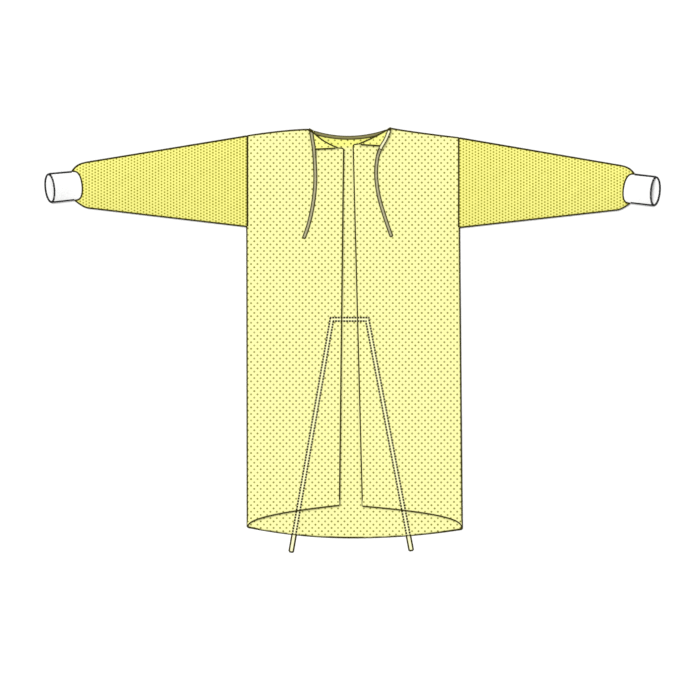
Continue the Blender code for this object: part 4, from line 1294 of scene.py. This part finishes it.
class GownSettings(bpy.types.PropertyGroup):
    """All the gown's settings."""

    cloth: PointerProperty(type=GownClothSettings)
    trim: PointerProperty(type=GownTrimSettings)
    stage: PointerProperty(type=GownStageSettings)


def body_cloth(look, name, tone=None):
    """The body's cloth, through which the belt shows."""
    return cloth_material(
        name, look, tuple(look.body), tuple(look.body_dots), (look.body_pitch, look.body_rows),
        BODY_DOT_START, look.dot_size, True, tone)


# ---------------------------------------------------------------- operators
class GOWN_OT_front(bpy.types.Operator):
    """Make the front, face down on the table, over the belt."""

    bl_idname = "gown.front"
    bl_label = "Front"

    def execute(self, context):
        look = context.scene.gown.cloth
        material = body_cloth(look, "front cloth", tuple(look.neck))
        piece = make_piece("front_cloth", [front_grid()], [material])
        give_wall(piece, SHELL)
        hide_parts("front_panel")
        return {"FINISHED"}


class GOWN_OT_backs(bpy.types.Operator):
    """Make both back panels with their turned-out neck corners."""

    bl_idname = "gown.backs"
    bl_label = "Backs"

    def execute(self, context):
        look = context.scene.gown.cloth
        cloth = body_cloth(look, "body cloth")
        turned = cloth_material(
            "turned corner cloth", look, tuple(look.lapel), tuple(look.body_dots),
            (look.body_pitch, look.body_rows), BODY_DOT_START, look.dot_size * 0.9, False)
        for side in (LEFT, RIGHT):
            piece = make_piece(f"back_cloth_{side.name}", back_grids(side), [cloth, turned],
                               flip=side.sign > 0)
            give_wall(piece, SHELL)
            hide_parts(f"back_panel_{side.name}")
        return {"FINISHED"}


class GOWN_OT_sleeves(bpy.types.Operator):
    """Make both sleeves as flattened tubes of cloth."""

    bl_idname = "gown.sleeves"
    bl_label = "Sleeves"

    def execute(self, context):
        look = context.scene.gown.cloth
        for sleeve in SLEEVES:
            side = sleeve.side
            cloth = cloth_material(
                f"sleeve cloth {side.name}", look, tuple(look.sleeve), tuple(look.sleeve_dots),
                (look.sleeve_pitch, look.sleeve_rows), SLEEVE_DOT_START[side.name],
                look.dot_size * 0.92, False)
            piece = make_piece(f"sleeve_cloth_{side.name}", [sleeve_grid(sleeve)], [cloth],
                               flip=side.sign > 0)
            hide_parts(f"sleeve_{side.name}")
        return {"FINISHED"}


class GOWN_OT_cuffs(bpy.types.Operator):
    """Make both rib-knit cuffs with their open mouths."""

    bl_idname = "gown.cuffs"
    bl_label = "Cuffs"

    def execute(self, context):
        knit = knit_material(context.scene.gown.trim)
        for sleeve in SLEEVES:
            side = sleeve.side
            piece = make_piece(f"cuff_knit_{side.name}", [cuff_grid(sleeve)], [knit], flip=side.sign > 0)
            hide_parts(f"cuff_{side.name}")
        return {"FINISHED"}


class GOWN_OT_neck_tapes(bpy.types.Operator):
    """Make the neck binding and the two ties that run on from the neck points."""

    bl_idname = "gown.neck_tapes"
    bl_label = "Neck tapes"

    def execute(self, context):
        trim = context.scene.gown.trim
        tape = tape_material("neck tape", tuple(trim.tape), tuple(trim.tape_edge), 9.0, 0.1)
        dark = tape_material("neck binding", tuple(trim.binding), tuple(trim.tape_edge), 9.0, 0.05)
        grid = strip_grid(binding_path(), TAPE_WIDTH, binding_under, TAPE_WALL)
        piece = make_piece("neck_binding_tape", [grid], [dark], flip=True)
        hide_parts("neck_binding")
        two_tone = tape_material("right neck tie", tuple(trim.tape), tuple(trim.tape_edge), 9.0, 0.1,
                                 tuple(trim.cream))
        for side, finish in ((LEFT, tape), (RIGHT, two_tone)):
            grid = strip_grid(tie_path(side), TAPE_WIDTH, tie_under(side), TAPE_WALL)
            piece = make_piece(f"neck_tie_tape_{side.name}", [grid], [finish], flip=True)
            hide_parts(f"neck_tie_{side.name}")
        return {"FINISHED"}


class GOWN_OT_belt(bpy.types.Operator):
    """Make the waist belt, under the front with both tails past the hem."""

    bl_idname = "gown.belt"
    bl_label = "Belt"

    def execute(self, context):
        trim = context.scene.gown.trim
        tape = tape_material("belt cloth", tuple(trim.belt), tuple(trim.belt_edge), 12.0, 0.15)
        grid = strip_grid(belt_path(), BELT_WIDTH, belt_under, TAPE_WALL)
        piece = make_piece("belt_tape", [grid], [tape], flip=True)
        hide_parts("waist_belt")
        return {"FINISHED"}


class GOWN_OT_edge_thread(bpy.types.Operator):
    """Overcast every edge and outer seam with dark thread."""

    bl_idname = "gown.edge_thread"
    bl_label = "Edge thread"

    def execute(self, context):
        trim = context.scene.gown.trim
        olive = thread_material("overcasting thread", tuple(trim.thread), tuple(trim.thread_painted_highlight))
        grey = thread_material("cuff thread", tuple(trim.cuff_thread), tuple(trim.cuff_thread_painted_highlight))
        groups = {"edge_thread_body": (body_edge_paths(trim), olive)}
        for side in (LEFT, RIGHT):
            groups[f"edge_thread_back_{side.name}"] = (back_edge_paths(side, trim), olive)
        for sleeve in SLEEVES:
            groups[f"edge_thread_sleeve_{sleeve.side.name}"] = (sleeve_edge_paths(sleeve, trim), olive)
            groups[f"edge_thread_cuff_{sleeve.side.name}"] = (cuff_edge_paths(sleeve, trim), grey)
        for name, (paths, material) in groups.items():
            grids = [overcast_grid(path, wide, high, trim.pitch) for path, wide, high in paths]
            make_piece(name, grids, [material], flip=True)
        ties = tape_edges(binding_path(), TAPE_WIDTH, binding_under, trim, share=BINDING_EDGE)
        ties += tack_grids(trim)
        for side in (LEFT, RIGHT):
            ties += tape_edges(tie_path(side), TAPE_WIDTH, tie_under(side), trim, free_ends=(-1,))
        make_piece("edge_thread_neck_tapes", ties, [olive], flip=True)
        belt = tape_edges(belt_path(), BELT_WIDTH, lambda x, y: belt_under(x, y) + TAPE_EDGE_LIFT, trim,
                          inset=BELT_INSET, free_ends=(0, -1), around=6, share=BELT_EDGE)
        make_piece("edge_thread_belt", belt, [olive], flip=True)
        return {"FINISHED"}


class GOWN_OT_stage(bpy.types.Operator):
    """Set the pale floor, the soft lights and the camera straight above."""

    bl_idname = "gown.stage"
    bl_label = "Stage"

    def execute(self, context):
        stage = context.scene.gown.stage
        material, shader, field = start_material("table", Roughness=0.9, Specular_IOR_Level=0.1)
        space = field.make("TexCoord", out="Object")
        tone = noise(space, 2.0, 2.0)
        floor_color = tuple(stage.floor)
        color = blend(tone, tuple(0.985 * c for c in floor_color), floor_color)
        field.tree.links.new(color.socket, shader.inputs["Base Color"])
        spread = np.linspace(-FLOOR_REACH, FLOOR_REACH, 3)
        x, y = np.meshgrid(spread, spread, indexing="ij")
        mesh = bpy.data.meshes.new("table")
        quads, _, _ = grid_faces(3, 3, False, False)
        points = path3(x, y, -FLOOR_DROP).reshape(-1, 3)
        mesh.from_pydata(points, [], quads.reshape(-1, 4))
        mesh.materials.append(material)
        table = bpy.data.objects.new("table", mesh)
        context.scene.collection.objects.link(table)

        world = bpy.data.worlds.new("studio")
        world.use_nodes = True
        background = world.node_tree.nodes["Background"]
        background.inputs["Color"].default_value = (1.0, 1.0, 1.0, 1.0)
        background.inputs["Strength"].default_value = stage.ambient
        context.scene.world = world

        lamp = bpy.data.lights.new("key", "SUN")
        lamp.angle = radians(35.0)
        lamp.energy = stage.key
        key = bpy.data.objects.new("key", lamp)
        key.location = (-4.0, 3.4, 6.0)
        key.rotation_euler = (radians(-33.0), radians(-34.0), 0.0)
        context.scene.collection.objects.link(key)

        lens = bpy.data.cameras.new("camera")
        lens.lens = stage.lens
        lens.sensor_width = 36.0
        lens.clip_end = 100.0
        camera = bpy.data.objects.new("camera", lens)
        distance = stage.frame_width * stage.lens / lens.sensor_width
        camera.location = (stage.middle[0], stage.middle[1], distance)
        context.scene.collection.objects.link(camera)
        context.scene.camera = camera
        context.scene.view_settings.view_transform = "Standard"
        return {"FINISHED"}


STEPS = [
    GOWN_OT_stage, GOWN_OT_belt, GOWN_OT_front, GOWN_OT_backs, GOWN_OT_sleeves,
    GOWN_OT_cuffs, GOWN_OT_neck_tapes, GOWN_OT_edge_thread,
]


class GOWN_PT_panel(bpy.types.Panel):
    """Settings and steps of the gown, in the 3D view's sidebar."""

    bl_idname = "GOWN_PT_panel"
    bl_label = "Procedure gown"
    bl_space_type = "VIEW_3D"
    bl_region_type = "UI"
    bl_category = "Gown"

    def draw(self, context):
        gown = context.scene.gown
        for group in (gown.cloth, gown.trim, gown.stage):
            box = self.layout.box()
            for name in group.bl_rna.properties.keys():
                if name not in {"name", "rna_type"}:
                    box.prop(group, name)
        for step in STEPS:
            self.layout.operator(step.bl_idname)


CLASSES = [GownClothSettings, GownTrimSettings, GownStageSettings, GownSettings, *STEPS, GOWN_PT_panel]


def register():
    """Register the classes and hang the settings on the scene."""
    for one in CLASSES:
        bpy.utils.register_class(one)
    bpy.types.Scene.gown = PointerProperty(type=GownSettings)


def unregister():
    """Undo register."""
    del bpy.types.Scene.gown
    for one in reversed(CLASSES):
        bpy.utils.unregister_class(one)


def main():
    """Make everything in order."""
    register()
    for step in STEPS:
        group, name = step.bl_idname.split(".")
        getattr(getattr(bpy.ops, group), name)()


if __name__ == "__main__":
    main()
